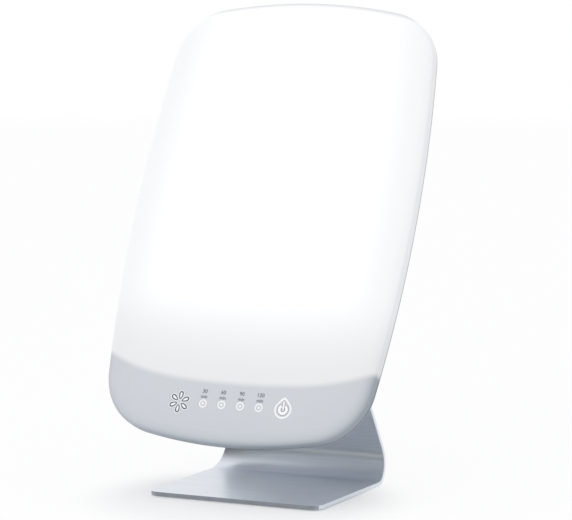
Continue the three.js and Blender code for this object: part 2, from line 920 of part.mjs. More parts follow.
function rearHousing() {
  const rise = draftTop - draftBottom;
  const shift = (housingWall * Math.hypot(draftInset, rise)) / rise;
  const innerInsetAt = (height) => housingReveal + shift + ((draftTop - height) * draftInset) / rise;
  const lipInner = lipInset + lipWall;
  const innerTop = draftTop - ((lipInner - housingReveal - shift) * rise) / draftInset;
  const shell = loft([
    ...housingOuterRings(),
    ringAt(headOutline, lipInset, housingTop),
    ringAt(headOutline, lipInset, lipTop),
    ringAt(headOutline, lipInner, lipTop),
    ringAt(headOutline, lipInner, innerTop),
    ringAt(headOutline, innerInsetAt(housingInside), housingInside),
    poleAt(housingInside),
  ]);
  const envelope = loft([...housingOuterRings(), poleAt(housingTop)]);
  const bosses = casePosts().map(({ x, y }) => (
    common(bar(screwBossRadius, housingBack, housingTop, x, y, smallSides), envelope)
  ));
  const trayBosses = trayScrews().map(({ x, y }) => (
    bar(trayBossRadius, housingInside - fuseDepth, floorBottom - seatGap, x, y, smallSides)
  ));
  const posts = [
    ...controlPosts().map((place) => boardPost(place, controlBottom)),
    ...driverPosts().map((place) => boardPost(place, driverBottom)),
  ];
  const ribs = [-1, 1].map((hand) => block(
    ribWall, ribHigh - ribLow, housingInside - fuseDepth, housingInside + ribHeight,
    hand * ribSpacing, (ribHigh + ribLow) / 2,
  ));
  const pockets = casePosts().map(({ x, y }) => (
    bar(pocketRadius, housingBack - cutOverrun, housingTop - pocketFloor, x, y)
  ));
  const clearances = casePosts().map(({ x, y }) => (
    bar(caseScrewRadius + seatGap, housingBack, housingTop + cutOverrun, x, y, smallSides)
  ));
  const trayPilots = trayScrews().map(({ x, y }) => (
    bar(trayScrewRadius + threadGap, floorBottom - trayScrewReach - seatGap, floorBottom + cutOverrun,
      x, y, smallSides)
  ));
  const below = housingBack - cutOverrun;
  const above = housingInside + cutOverrun;
  const bracketHoles = bracketScrews().map(({ x, y }) => (
    bar(bracketScrewRadius + seatGap, below, above, x, y, smallSides)
  ));
  const inletHole = bar(inletThreadRadius + seatGap, below, above, inletAcross, -inletDrop);
  const cuts = [
    ...pockets, ...clearances, ...trayPilots, ...bracketHoles, inletHole,
    ...ventCuts(ventUpperRow, ventUpperRows), ...ventCuts(ventLowerRow, ventLowerRows),
  ];
  return shaped(shell, [...bosses, ...trayBosses, ...posts, ...ribs], cuts);
}

// Screw along Z with its head behind the seat and its tip ahead
function panScrew(seat, tip, radius, headRadius, headHeight, x, y) {
  const profile = [
    [0, seat - headHeight + socketDepth],
    [socketRadius, seat - headHeight + socketDepth],
    [socketRadius, seat - headHeight],
    [headRadius * Math.SQRT1_2, seat - headHeight],
    [headRadius, seat - headHeight * Math.SQRT1_2],
    [headRadius, seat],
    [radius, seat],
    [radius, tip - radius],
    [radius / 2, tip],
    [0, tip],
  ];
  const screw = turned(profile, smallSides);
  screw.translate(x, y, 0);
  return screw;
}

function caseScrew({ x, y }) {
  const seat = housingTop - pocketFloor - seatGap;
  const tip = housingTop + caseScrewReach - seatGap;
  return panScrew(seat, tip, caseScrewRadius, caseScrewHeadRadius, caseScrewHeadHeight, x, y);
}

function trayScrew({ x, y }) {
  const seat = floorTop + seatGap;
  const tip = floorBottom - trayScrewReach;
  const screw = panScrew(0, seat - tip, trayScrewRadius, trayScrewHeadRadius, trayScrewHeadHeight, 0, 0);
  screw.rotateX(Math.PI);
  screw.translate(x, y, seat);
  return screw;
}

function bracketScrew({ x, y }) {
  const seat = bracketBack - seatGap;
  const tip = housingInside + seatGap + hingePlateThickness + bracketScrewReach;
  return panScrew(
    seat, tip, bracketScrewRadius, bracketScrewHeadRadius, bracketScrewHeadHeight, x, y,
  );
}

// A jack: a threaded barrel with a collar outside, a bore with a pin in it, and a solder tag inside
function powerInlet() {
  const mouth = housingBack - seatGap - inletCollarHeight;
  const inner = mouth + inletCollarHeight + inletBodyLength;
  const jack = turned([
    [0, mouth + inletPinSetback],
    [inletPinRadius, mouth + inletPinSetback],
    [inletPinRadius, mouth + inletBoreDepth],
    [inletBoreRadius, mouth + inletBoreDepth],
    [inletBoreRadius, mouth],
    [inletCollarRadius, mouth],
    [inletCollarRadius, mouth + inletCollarHeight],
    [inletThreadRadius, mouth + inletCollarHeight],
    [inletThreadRadius, inner],
    [inletTagRadius, inner],
    [inletTagRadius, inner + inletTagLength],
    [0, inner + inletTagLength],
  ]);
  jack.translate(inletAcross, -inletDrop, 0);
  return jack;
}

function inletNut() {
  const bottom = housingInside + seatGap;
  const top = bottom + inletNutHeight;
  const nut = bar(inletNutRadius, bottom, top, inletAcross, -inletDrop, hexSides);
  const bore = bar(
    inletThreadRadius + threadGap, bottom - cutOverrun, top + cutOverrun, inletAcross, -inletDrop,
  );
  return shaped(nut, [], [bore]);
}

function leadAlong(points) {
  const route = new THREE.CatmullRomCurve3(points, false, 'centripetal');
  const circle = new THREE.Shape();
  circle.absarc(0, 0, leadRadius, 0, Math.PI * 2);
  const section = new THREE.Shape(circle.getPoints(leadSides).slice(0, leadSides));
  return new THREE.ExtrudeGeometry(section, {
    steps: leadSteps, bevelEnabled: false, extrudePath: route,
  });
}

const connectorTop = () => driverTop + seatGap + connectorWall + seatGap;

// From the inlet's tag to the right-hand connector
function inletLead() {
  const tag = housingBack - seatGap + inletBodyLength + inletTagLength + seatGap;
  const high = tag + leadRise;
  const y = connectorUp - driverDrop;
  return leadAlong([
    new THREE.Vector3(inletAcross, -inletDrop, tag),
    new THREE.Vector3(inletAcross, -inletDrop, tag + leadRadius),
    new THREE.Vector3((inletAcross + connectorAcross) / 2, (y - inletDrop) / 2, high),
    new THREE.Vector3(connectorAcross, y, high - leadRise / 2),
    new THREE.Vector3(connectorAcross, y, connectorTop()),
  ]);
}

// From the left-hand connector through the tray, to the bus lead
function stripLead() {
  const hole = leadHole();
  const y = connectorUp - driverDrop;
  return leadAlong([
    new THREE.Vector3(-connectorAcross, y, connectorTop()),
    new THREE.Vector3(-connectorAcross, y, connectorTop() + connectorHeight),
    new THREE.Vector3((hole.x - connectorAcross) / 2, (y + hole.y) / 2, floorBottom - leadRise / 2),
    new THREE.Vector3(hole.x, hole.y, floorBottom - leadRadius),
    new THREE.Vector3(hole.x, hole.y, floorTop + stripThickness + busRadius * 2),
  ]);
}

// Between the two boards, with a little slack
function controlLead() {
  const y = -keyRowDrop;
  const bottom = driverTop + seatGap;
  const top = controlBottom - seatGap;
  return leadAlong([
    new THREE.Vector3(controlLeadAcross, y, bottom),
    new THREE.Vector3(controlLeadAcross, y, bottom + leadRise),
    new THREE.Vector3(controlLeadAcross - controlLeadSway, y, (bottom + top) / 2),
    new THREE.Vector3(controlLeadAcross, y, top - leadRise),
    new THREE.Vector3(controlLeadAcross, y, top),
  ]);
}

// Plate inside the housing that spreads the hinge's load
function hingePlate() {
  const bottom = housingInside + seatGap;
  const top = bottom + hingePlateThickness;
  const plate = slab(
    hingePlateHalfWidth * 2, hingePlateHeight, bracketCorner, bottom, top, 0, -hingeDrop,
  );
  const holes = bracketScrews().map(({ x, y }) => (
    bar(bracketScrewRadius + threadGap, bottom - cutOverrun, top + cutOverrun, x, y, smallSides)
  ));
  return shaped(plate, [], holes);
}

// A bar with a round end about the hinge, which widens towards the bracket's plate
function earProfile() {
  const rise = hingeSetback + housingBack + seatGap;
  const foot = bracketHeight / 2 - bracketCorner;
  const reach = Math.hypot(foot, rise);
  const lean = Math.atan2(foot, rise);
  const touch = lean + Math.acos(earRadius / reach);
  const shape = new THREE.Shape();
  shape.moveTo(-foot - hingeDrop, housingBack - seatGap - fuseDepth);
  shape.lineTo(-hingeDrop - earRadius * Math.sin(touch), -hingeSetback + earRadius * Math.cos(touch));
  shape.absarc(-hingeDrop, -hingeSetback, earRadius, Math.PI / 2 + touch, Math.PI * 2.5 - touch);
  shape.lineTo(foot - hingeDrop, housingBack - seatGap - fuseDepth);
  return shape;
}

function hingeBracket() {
  const top = housingBack - seatGap;
  const plate = slab(
    bracketHalfWidth * 2, bracketHeight, bracketCorner, bracketBack, top, 0, -hingeDrop,
  );
  const ears = [-1, 1].map((hand) => {
    const ear = extrudedAcross(earProfile(), earThickness);
    ear.translate(hand * (earHalfSpan + earThickness / 2), 0, 0);
    return ear;
  });
  const screwHoles = bracketScrews().map(({ x, y }) => (
    bar(bracketScrewRadius + seatGap, bracketBack - cutOverrun, top + cutOverrun, x, y, smallSides)
  ));
  const reach = earHalfSpan + earThickness + cutOverrun;
  const pinHole = crossBar(hingePinRadius + threadGap, -reach, reach, -hingeDrop, -hingeSetback);
  return shaped(plate, ears, [...screwHoles, pinHole]);
}

const earOutside = earHalfSpan + earThickness;
const nutSeat = earOutside + seatGap + springWasherThickness + seatGap;

function hingePin() {
  const shank = crossBar(
    hingePinRadius, -earOutside - seatGap - fuseDepth, nutSeat + hingeNutHeight + pinTail,
    -hingeDrop, -hingeSetback,
  );
  const head = crossBar(
    hingePinHeadRadius, -earOutside - seatGap - hingePinHeadHeight, -earOutside - seatGap,
    -hingeDrop, -hingeSetback, hexSides,
  );
  return shaped(shank, [head], []);
}

function ringOnPin(outerRadius, left, right, gap, sides = pinSides) {
  const disc = crossBar(outerRadius, left, right, -hingeDrop, -hingeSetback, sides);
  const bore = crossBar(
    hingePinRadius + gap, left - cutOverrun, right + cutOverrun, -hingeDrop, -hingeSetback,
  );
  return shaped(disc, [], [bore]);
}

const hingeNut = () => ringOnPin(hingeNutRadius, nutSeat, nutSeat + hingeNutHeight, threadGap, hexSides);

const springWasher = () => ringOnPin(
  springWasherRadius, earOutside + seatGap, earOutside + seatGap + springWasherThickness, seatGap,
);

function frictionWasher(hand) {
  const outer = earHalfSpan - seatGap;
  const inner = outer - frictionWasherThickness;
  const left = hand > 0 ? inner : -outer;
  return ringOnPin(frictionWasherRadius, left, left + frictionWasherThickness, seatGap);
}

// Directions of the upright: the plate turns up through a right angle and then leans forward
const lean = THREE.MathUtils.degToRad(uprightLeanDegrees);
const taper = THREE.MathUtils.degToRad(uprightTaperDegrees);
const tilt = THREE.MathUtils.degToRad(headTiltDegrees);
const bendTurn = Math.PI / 2 + lean;
const baseTop = matThickness + plateThickness;
const bendStart = baseFlatLength / 2;
const bendLength = bendRadius * bendTurn;
const uprightLength = uprightToHinge + uprightAboveHinge;
const blankLength = baseFlatLength + bendLength + uprightLength;

// Where the plate's inner face lies, a distance along the flat blank
function blankPoint(along) {
  const turn = THREE.MathUtils.clamp((along - baseFlatLength) / bendRadius, 0, bendTurn);
  const flat = Math.min(along, baseFlatLength) - bendStart;
  const upright = Math.max(along - baseFlatLength - bendLength, 0);
  const y = flat + bendRadius * Math.sin(turn) - upright * Math.sin(lean);
  const z = baseTop + bendRadius * (1 - Math.cos(turn)) + upright * Math.cos(lean);
  return { y, z, turn };
}

// Half the width of the flat blank, before its corners are rounded
function blankHalfWidth(along) {
  const tapered = Math.max(along - baseFlatLength - taperSetback, 0);
  return baseHalfWidth - tapered * Math.tan(taper);
}

// Distances along the blank, each with the width drawn in by the rounding there
function blankStations() {
  const stations = [];
  for (let k = 0; k <= cornerSteps; k += 1) {
    const turn = (Math.PI / 2) * (k / cornerSteps);
    const along = frontCornerRadius * (1 - Math.cos(turn));
    stations.push({ along, trim: frontCornerRadius * (1 - Math.sin(turn)) });
  }
  for (let k = 0; k <= bendSteps; k += 1) {
    stations.push({ along: baseFlatLength + (bendLength * k) / bendSteps, trim: 0 });
  }
  for (let k = 0; k <= cornerSteps; k += 1) {
    const turn = (Math.PI / 2) * (k / cornerSteps);
    const along = blankLength - topCornerRounding * (1 - Math.sin(turn));
    stations.push({ along, trim: topCornerRounding * (1 - Math.cos(turn)) });
  }
  return stations;
}

// Chamfered section of the plate at one station, drawn across X and through the thickness
function plateSection({ along, trim }) {
  const { y, z, turn } = blankPoint(along);
  const half = blankHalfWidth(along) - trim;
  const chamfer = plateChamfer;
  const corners = [
    [half - chamfer, 0],
    [half, chamfer],
    [half, plateThickness - chamfer],
    [half - chamfer, plateThickness],
    [chamfer - half, plateThickness],
    [-half, plateThickness - chamfer],
    [-half, chamfer],
    [chamfer - half, 0],
  ];
  return corners.map(([x, depth]) => new THREE.Vector3(
    x, y + depth * Math.sin(turn), z - depth * Math.cos(turn),
  ));
}

function middleOf(points) {
  const middle = new THREE.Vector3();
  for (const point of points) {
    middle.addScaledVector(point, 1 / points.length);
  }
  return [middle];
}

const blockScrews = () => cornerPlaces(
  blockScrewAcross * 2, blockScrewUp * 2, 0, 0, uprightToHinge,
);

// The upright's frame: Y runs up its front face and Z points towards the head
function uprightFrame() {
  const foot = blankPoint(baseFlatLength + bendLength);
  const matrix = new THREE.Matrix4().makeRotationX(bendTurn);
  matrix.setPosition(0, foot.y, foot.z);
  return matrix;
}

// Countersunk screw through the plate from behind, with its head flush
function countersunkProfile(clearance) {
  const back = -plateThickness - clearance;
  return [
    [0, back],
    [blockScrewHeadRadius + clearance, back],
    [blockScrewRadius + clearance, back + blockScrewHeadHeight],
  ];
}

function standPlate() {
  const sections = blankStations().map(plateSection);
  const last = sections[sections.length - 1];
  const plate = loft([middleOf(sections[0]), ...sections, middleOf(last)]);
  const frame = uprightFrame();
  const holes = blockScrews().map(({ x, y }) => {
    const hole = turned([
      ...countersunkProfile(seatGap), [blockScrewRadius + seatGap, cutOverrun], [0, cutOverrun],
    ], smallSides);
    hole.translate(x, y, 0);
    return hole.applyMatrix4(frame);
  });
  return shaped(plate, [], holes);
}

function antiSlipMat() {
  const width = (baseHalfWidth - matInset) * 2;
  const length = baseFlatLength - matInset * 2;
  return slab(width, length, frontCornerRadius, 0, matThickness, 0, 0);
}

const barrelHalfLength = earHalfSpan - frictionWasherThickness - seatGap * 2;

// A foot on the upright's face that rises to a round barrel about the hinge pin
function hingeBlock() {
  const shoulder = seatGap + blockFootThickness;
  const rise = blockStandoff - shoulder;
  const reach = Math.hypot(blockFootHalfHeight, rise);
  const touch = Math.acos(barrelRadius / reach) - Math.atan2(rise, blockFootHalfHeight);
  const shape = new THREE.Shape();
  shape.moveTo(-blockFootHalfHeight, seatGap);
  shape.lineTo(blockFootHalfHeight, seatGap);
  shape.lineTo(blockFootHalfHeight, shoulder);
  shape.absarc(0, blockStandoff, barrelRadius, touch, Math.PI - touch);
  shape.lineTo(-blockFootHalfHeight, shoulder);
  const body = extrudedAcross(shape, barrelHalfLength * 2);
  body.translate(0, uprightToHinge, 0);
  const reachAcross = barrelHalfLength + cutOverrun;
  const bore = crossBar(
    hingePinRadius + runningGap, -reachAcross, reachAcross, uprightToHinge, blockStandoff,
  );
  const pilots = blockScrews().map(({ x, y }) => (
    bar(blockScrewRadius + threadGap, -cutOverrun, seatGap + blockScrewReach + seatGap, x, y, smallSides)
  ));
  return shaped(body, [], [bore, ...pilots]);
}

function blockScrew({ x, y }) {
  const profile = countersunkProfile(0);
  const [, rim, neck] = profile;
  const back = -plateThickness;
  const screw = turned([
    [0, back + socketDepth],
    [socketRadius, back + socketDepth],
    [socketRadius, back],
    rim,
    neck,
    [blockScrewRadius, seatGap + blockScrewReach],
    [0, seatGap + blockScrewReach],
  ], smallSides);
  screw.translate(x, y, 0);
  return screw;
}

function addPiece(group, name, geometry, finish) {
  const mesh = new THREE.Mesh(geometry, new THREE.MeshStandardMaterial(finishes[finish]));
  mesh.name = name;
  group.add(mesh);
}

function buildHead() {
  const head = new THREE.Group();
  addPiece(head, 'diffuser_cover', diffuserCover(), 'opal');
  addPiece(head, 'diffuser_sheet', diffuserSheet(), 'film');
  addPiece(head, 'light_baffle', lightBaffle(), 'whitePlastic');
  addPiece(head, 'reflector_tray', reflectorTray(), 'reflector');
  stripRows().forEach((y, k) => addPiece(head, `led_strip_${k + 1}`, lightStrip(y), 'whiteBoard'));
  addPiece(head, 'control_board', controlBoard(), 'board');
  const [timerKey, powerKey] = keyPlaces();
  addPiece(head, 'touch_pad_timer', touchPad(timerKey), 'foam');
  addPiece(head, 'touch_pad_power', touchPad(powerKey), 'foam');
  timerPlaces().forEach((x, k) => addPiece(head, `light_pipe_${k + 1}`, lightPipe(x), 'acrylic'));
  addPiece(head, 'driver_board', driverBoard(), 'board');
  addPiece(head, 'driver_capacitor', driverCapacitor(), 'blackPlastic');
  addPiece(head, 'driver_inductor', driverInductor(), 'copper');
  addPiece(head, 'strip_connector', leadConnector(-1), 'whitePlastic');
  addPiece(head, 'inlet_connector', leadConnector(1), 'whitePlastic');
  addPiece(head, 'strip_lead', stripLead(), 'rubber');
  addPiece(head, 'inlet_lead', inletLead(), 'rubber');
  addPiece(head, 'control_lead', controlLead(), 'rubber');
  addPiece(head, 'strip_bus', stripBus(), 'rubber');
  addPiece(head, 'rear_housing', rearHousing(), 'whitePlastic');
  addPiece(head, 'power_inlet', powerInlet(), 'blackPlastic');
  addPiece(head, 'inlet_nut', inletNut(), 'steel');
  casePosts().forEach((post, k) => addPiece(head, `case_screw_${k + 1}`, caseScrew(post), 'steel'));
  trayScrews().forEach((place, k) => addPiece(head, `tray_screw_${k + 1}`, trayScrew(place), 'steel'));
  addPiece(head, 'hinge_plate', hingePlate(), 'steel');
  addPiece(head, 'hinge_bracket', hingeBracket(), 'steel');
  bracketScrews().forEach((place, k) => (
    addPiece(head, `bracket_screw_${k + 1}`, bracketScrew(place), 'steel')
  ));
  addPiece(head, 'hinge_pin', hingePin(), 'steel');
  addPiece(head, 'hinge_nut', hingeNut(), 'steel');
  addPiece(head, 'spring_washer', springWasher(), 'steel');
  addPiece(head, 'friction_washer_left', frictionWasher(-1), 'blackPlastic');
  addPiece(head, 'friction_washer_right', frictionWasher(1), 'blackPlastic');
  head.position.set(0, hingeDrop, hingeSetback);
  return head;
}

function buildLamp() {
  const lamp = new THREE.Group();
  addPiece(lamp, 'stand_plate', standPlate(), 'aluminium');
  addPiece(lamp, 'anti_slip_mat', antiSlipMat(), 'rubber');
  const upright = new THREE.Group();
  upright.applyMatrix4(uprightFrame());
  addPiece(upright, 'hinge_block', hingeBlock(), 'aluminium');
  blockScrews().forEach((place, k) => (
    addPiece(upright, `block_screw_${k + 1}`, blockScrew(place), 'steel')
  ));
  const hinge = new THREE.Group();
  hinge.position.set(0, uprightToHinge, blockStandoff);
  hinge.rotation.x = -(tilt + lean);
  hinge.add(buildHead());
  upright.add(hinge);
  lamp.add(upright);
  return lamp;
}

export default buildLamp();
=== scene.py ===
"""Tabletop daylight lamp: a glowing rounded panel, tilted on a bent aluminium stand.

Shapes are written in millimetres in the frame of the piece that carries them, and one matrix
takes each of them to the row frame in metres.
"""

import json
from math import acos, atan, atan2, copysign, cos, hypot, pi, radians, sin, sqrt, tan

import bmesh
import bpy
from mathutils import Matrix, Vector
from mathutils.bvhtree import BVHTree


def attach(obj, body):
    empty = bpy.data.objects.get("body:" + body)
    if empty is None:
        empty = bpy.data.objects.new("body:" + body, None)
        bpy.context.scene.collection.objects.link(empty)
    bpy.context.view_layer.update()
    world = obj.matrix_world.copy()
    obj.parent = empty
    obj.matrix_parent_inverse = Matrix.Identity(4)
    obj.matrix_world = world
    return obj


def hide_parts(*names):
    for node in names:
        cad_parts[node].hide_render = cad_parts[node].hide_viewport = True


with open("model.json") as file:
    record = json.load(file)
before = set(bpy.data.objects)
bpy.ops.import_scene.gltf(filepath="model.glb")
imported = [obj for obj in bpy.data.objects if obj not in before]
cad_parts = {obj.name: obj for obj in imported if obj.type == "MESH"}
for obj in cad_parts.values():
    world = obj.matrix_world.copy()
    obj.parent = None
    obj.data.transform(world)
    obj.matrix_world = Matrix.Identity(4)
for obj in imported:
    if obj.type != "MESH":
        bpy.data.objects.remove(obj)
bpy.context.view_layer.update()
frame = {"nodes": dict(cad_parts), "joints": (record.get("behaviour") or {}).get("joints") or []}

MM = 0.001

# Camera
CAMERA_TURN = 0.45705
CAMERA_RISE = 0.11975
CAMERA_DISTANCE = 3.5
CAMERA_TARGET = Vector((0, -0.078, 0.25))
FOCAL_PIXELS = 3301.6
CENTRE_PIXELS = (232.11, 271.60)
IMAGE_PIXELS = (572, 520)
SENSOR_WIDTH = 36

# Studio, in metres: the floor grows white from the plate outwards, and fully so towards the horizon
SKY = 0.86
STUDIO_FRONT = 0.04
FRONT_REACH = (-0.7, -0.1)
SUN, SUN_ANGLE = 0.3, radians(50)
SOFTBOX, SOFTBOX_SIZE = 1.8, 0.9
FLOOR_HALF = 30
FLOOR_WHITE = (0.2, 0.85)
SHADOW_CENTRE = (0, -0.06, 0)
SHADOW_REACH = (0.11, 0.2)
HORIZON_REACH = (1.5, 6.0)

# Head
HALF_WIDTH = 166
HALF_HEIGHT = 255.4
SIDE_BOW = 19.2
TOP_BOW = 25.5
BOTTOM_BOW = 27
TOP_CORNER = 63
BOTTOM_CORNER = 68
ARC_STEPS = (20, 16, 14)  # along half a side, round a corner and along half an end
COVER_WALL = 2.5
COVER_ROUND = 0.5
SKIRT = 10
EDGE_INSET = 13
EDGE_RISE = 9
CROWN_RISE = 5
CROWN_SPREAD = 1.2
FACE_STEPS = 14
REVEAL = 0.6
RIM_HEIGHT = 1.7
HOUSING_WALL = 2.5
HOUSING_ROUND = 0.4
HOUSING_DEPTH = 26
DRAFT = 19.4
DRAFT_STEPS = 6
BACK_EDGE_INSET = 4.5
BACK_EDGE_RISE = 3
SEAM = 0.3
HEAD_TILT = radians(25.75)
HINGE_DROP = 64.7
HINGE_SETBACK = 48

# Lit zone: how far its lower end lies under the middle, the curve of that end in square and
# fourth power, and how far the curve's middle lies to the right
LIT_REACH = 189.7
LIT_CURVE = (0.00041, 2.45e-8)
LIT_SHIFT = 5
LIT_EDGE = 9

# Glow in the middle, and what is left of it at each rim, over how many millimetres
GLOW, GLOW_BLEND = 0.6, 0.1
LOW_GLOW, LOW_FADE = 0.17, 200
SIDE_GLOW, SIDE_FADE = 0.27, 135
TOP_GLOW, TOP_FADE = 0.08, 14
TURN_SHARE, TURN_FADE = 0.8, 4
# Depths in the wall over which the rounded edge and the skirt's foot darken in colour, partly as painted
# shade
EDGE_TONE_AND_SHADE = (-2, 11)
FOOT_SHADE, FOOT_FADE = 1.8, 0.6

# Key row, and its printed signs
KEY_DROP = 213.9
KEY_SHIFT = 1.7
TIMER_PITCH = 22
TIMER_MINUTES = (30, 60, 90, 120)
TIMER_RING = (4.6, 3.2)
TIMER_DOT = 1.35
FIGURE_SIZE, FIGURE_RISE = 5.9, 13.5
UNIT_SIZE, UNIT_RISE = 5.2, 7.5
LETTER_WEIGHT = 0.08
TIMER_SIGN = Vector((-59.6, -KEY_DROP))
PETAL_TURN = 84
PETAL_REACH = 7.4
PETAL_HALF = (4.3, 2.3)
PETAL_GROWTH = (1.0, 0.35, -1.15)
POWER_SIGN = Vector((63.0, -KEY_DROP))
LOOP_OUTSIDE, LOOP_INSIDE = (9.9, 13.6), (8.1, 11.2)
# Power symbol: radii and half of the gap of each arc, and the middle and half of the width of each bar
ARC, ARC_EDGES = (2.6, 5.9, 0.56), ((2.1, 2.6, 0.66), (5.9, 6.4, 0.5))
BAR, BAR_EDGES = (0, 1.15), ((-1.4, 0.25), (1.4, 0.25))
BAR_ENDS = (0.8, 8)
ABOVE_FACE = 40
PRINT_LIFT = 0.08  # thicker than real ink, so that it stays clear of the face

# Openings and screw posts of the rear housing
VENT_LENGTH = 46
VENT_WIDTH = 3.4
VENT_PITCH = 9
VENT_SPACING = 66
VENT_ROWS = ((196, 6), (-118, 3))
POST_INSET = 10
POST_ACROSS = 100
POST_UP = 20
POST_RADII = (1.6, 3.2)
POST_TOP = 5
POCKET_RADIUS = 4.2
POCKET_WALL = 2.2
POCKET_FLOOR = 3.4
BRACKET_SCREWS = (49, 13)
BRACKET_HOLE = 2.3
INLET = (100, -196)
INLET_HOLE = 5.8

# Inlet jack: radius and length of each part
JACK_BORE = (3.2, 9)
JACK_COLLAR = (7.5, 2)
JACK_BARREL = (5.5, 14)
JACK_TAIL = (2.4, 3)
JACK_PIN = (1.05, 9.4)

# Stand
BASE_HALF_WIDTH = 102.5
BASE_LENGTH = 156
PLATE = 4.4
PLATE_EDGE = 0.6
FRONT_CORNER = 13
MAT_CORNER = 9
TOP_CORNER_ROUND = 12
BEND_RADIUS = 26
BEND_STEPS = 40
LEAN = radians(17.5)
TAPER = radians(9.3)
TAPER_SETBACK = 7
TO_HINGE = 190.3
ABOVE_HINGE = 16
MAT_THICKNESS = 1
MAT_INSET = 6

# Hinge: bracket on the back of the housing, pin, washers, nut, and block on the upright
BRACKET_HALF = (58, 21)
BRACKET_CORNER = 5
BRACKET_PLATE = 2.5
EAR_INSIDE = 38
EAR_OUTSIDE = 40.5
EAR_RADIUS = 10
BEAD_REACH = 1.35
BEAD_STEPS = 96
BORE_REACH = 60
PIN_RADIUS = 4
PIN_HEAD = (6.6, 3.6)
PIN_TAIL = 1.4
FRICTION_WASHER = (8, 1.2)
SPRING_WASHER = (7, 1.4)
SPRING_SPLIT = 0.12
HINGE_NUT = (7.4, 5.5)
NUT_CHAMFER = 0.5
STANDOFF = 14
BARREL_RADIUS = 8
BLOCK_FOOT = (13, 5)
BLOCK_SCREWS = (27, 8)

# Screws: radius of shank, radius of head, height of head. Threads: pitch and depth
CASE_SCREW = (1.5, 3.2, 2.2)
BRACKET_SCREW = (2, 3.8, 2.6)
BLOCK_SCREW = (2, 4, 2.2)
CASE_SCREW_TIP = -2.6
BRACKET_SCREW_TIP = -29.2
BLOCK_SCREW_TIP = 3.7
TAPPING_THREAD = (0.9, 0.25)
MACHINE_THREAD = (0.7, 0.2)
PIN_THREAD = (1.0, 0.35)
JACK_THREAD = (0.75, 0.3)
SCREW_EDGE = 0.15
SINK = (4.3, 2.3, 1.9)  # radii at the plate's back and below, and depth
SINK_BEYOND = (0.3, 3)  # how far the hole's tool stands out behind the plate and in front of it
DRIVE_RADIUS = 1.35
DRIVE_DEPTH = 1.2
LOBE = 0.14

# Where nearly all values of a noise lie
NOISE_REACH = (0.3, 0.7)


def object_of(data):
    made = bpy.data.objects.new(data.name, data)
    bpy.context.scene.collection.objects.link(made)
    return made


def aimed(data, toward, distance):
    """A camera or light that looks at the middle of the lamp, from a distance in metres."""
    made = object_of(data)
    made.location = CAMERA_TARGET - toward * distance
    made.rotation_mode = "QUATERNION"
    made.rotation_quaternion = toward.to_track_quat("-Z", "Y")
    return made


def make_camera():
    toward = Vector((
        -sin(CAMERA_TURN) * cos(CAMERA_RISE), cos(CAMERA_TURN) * cos(CAMERA_RISE), -sin(CAMERA_RISE)))
    data = bpy.data.cameras.new("camera")
    data.sensor_width = SENSOR_WIDTH
    (wide, high), (across, down) = IMAGE_PIXELS, CENTRE_PIXELS
    data.lens = FOCAL_PIXELS / wide * SENSOR_WIDTH
    data.shift_x = (wide / 2 - across) / wide
    data.shift_y = (down - high / 2) / wide
    data.clip_end = 100
    bpy.context.scene.camera = aimed(data, toward, CAMERA_DISTANCE)


make_camera()


# Frames of the pieces

ROW = Matrix.Scale(MM, 4)
BEND_TURN = pi / 2 + LEAN
BEND_LENGTH = BEND_RADIUS * BEND_TURN
BASE_TOP = MAT_THICKNESS + PLATE


def blank_point(along):
    """Where the plate's inner face lies, a distance along the flat blank, and how far it has turned."""
    turn = min(max((along - BASE_LENGTH) / BEND_RADIUS, 0), BEND_TURN)
    flat = min(along, BASE_LENGTH) - BASE_LENGTH / 2
    upright = max(along - BASE_LENGTH - BEND_LENGTH, 0)
    y = flat + BEND_RADIUS * sin(turn) - upright * sin(LEAN)
    z = BASE_TOP + BEND_RADIUS * (1 - cos(turn)) + upright * cos(LEAN)
    return y, z, turn


# Head: X to the right, Y up the head and Z out of its face, from the middle of its rim
HEAD = (Matrix.Translation(frame["joints"][0]["pos_m"]) @ Matrix.Rotation(pi / 2 - HEAD_TILT, 4, "X")
        @ ROW @ Matrix.Translation((0, HINGE_DROP, HINGE_SETBACK)))
# Upright: Y up its front face and Z towards the head, from the end of the bend
*BEND_END, _ = blank_point(BASE_LENGTH + BEND_LENGTH)
UPRIGHT = ROW @ Matrix.Translation((0, *BEND_END)) @ Matrix.Rotation(BEND_TURN, 4, "X")
# Hinge: Z to the right along the pin, in the head's frame
ON_PIN = Matrix.Translation((0, -HINGE_DROP, -HINGE_SETBACK)) @ Matrix.Rotation(pi / 2, 4, "Y")

HOUSING_TOP = -SKIRT - SEAM
HOUSING_BACK = -SKIRT - HOUSING_DEPTH
DRAFT_TOP = HOUSING_TOP - RIM_HEIGHT
DRAFT_BOTTOM = HOUSING_BACK + BACK_EDGE_RISE
BRACKET_FRONT = HOUSING_BACK - SEAM
BRACKET_BACK = BRACKET_FRONT - BRACKET_PLATE


# Materials

def linear(code):
    """Linear colour of an sRGB hex value."""
    parts = [int(code[k:k + 2], 16) / 255 for k in (1, 3, 5)]
    return [p / 12.92 if p <= 0.04045 else ((p + 0.055) / 1.055) ** 2.4 for p in parts] + [1]


def add(tree, kind, sockets=(), **settings):
    """Add a node with its settings. An input, by name or in order, gets a value, colour, socket or node."""
    node = tree.nodes.new(kind)
    for name, value in settings.items():
        setattr(node, name, value)
    for name, value in sockets.items() if isinstance(sockets, dict) else enumerate(sockets):
        if isinstance(value, str):
            value = linear(value)
        if isinstance(value, bpy.types.Node):
            value = next(output for output in value.outputs if output.enabled)
        if isinstance(value, bpy.types.NodeSocket):
            tree.links.new(value, node.inputs[name])
        else:
            node.inputs[name].default_value = value
    return node


def new_material(name):
    """A material, its empty tree and the socket that says where on the piece a point lies."""
    material = bpy.data.materials.new(name)
    material.use_nodes = True
    tree = material.node_tree
    tree.nodes.clear()
    return material, tree, add(tree, "ShaderNodeTexCoord").outputs["Object"]


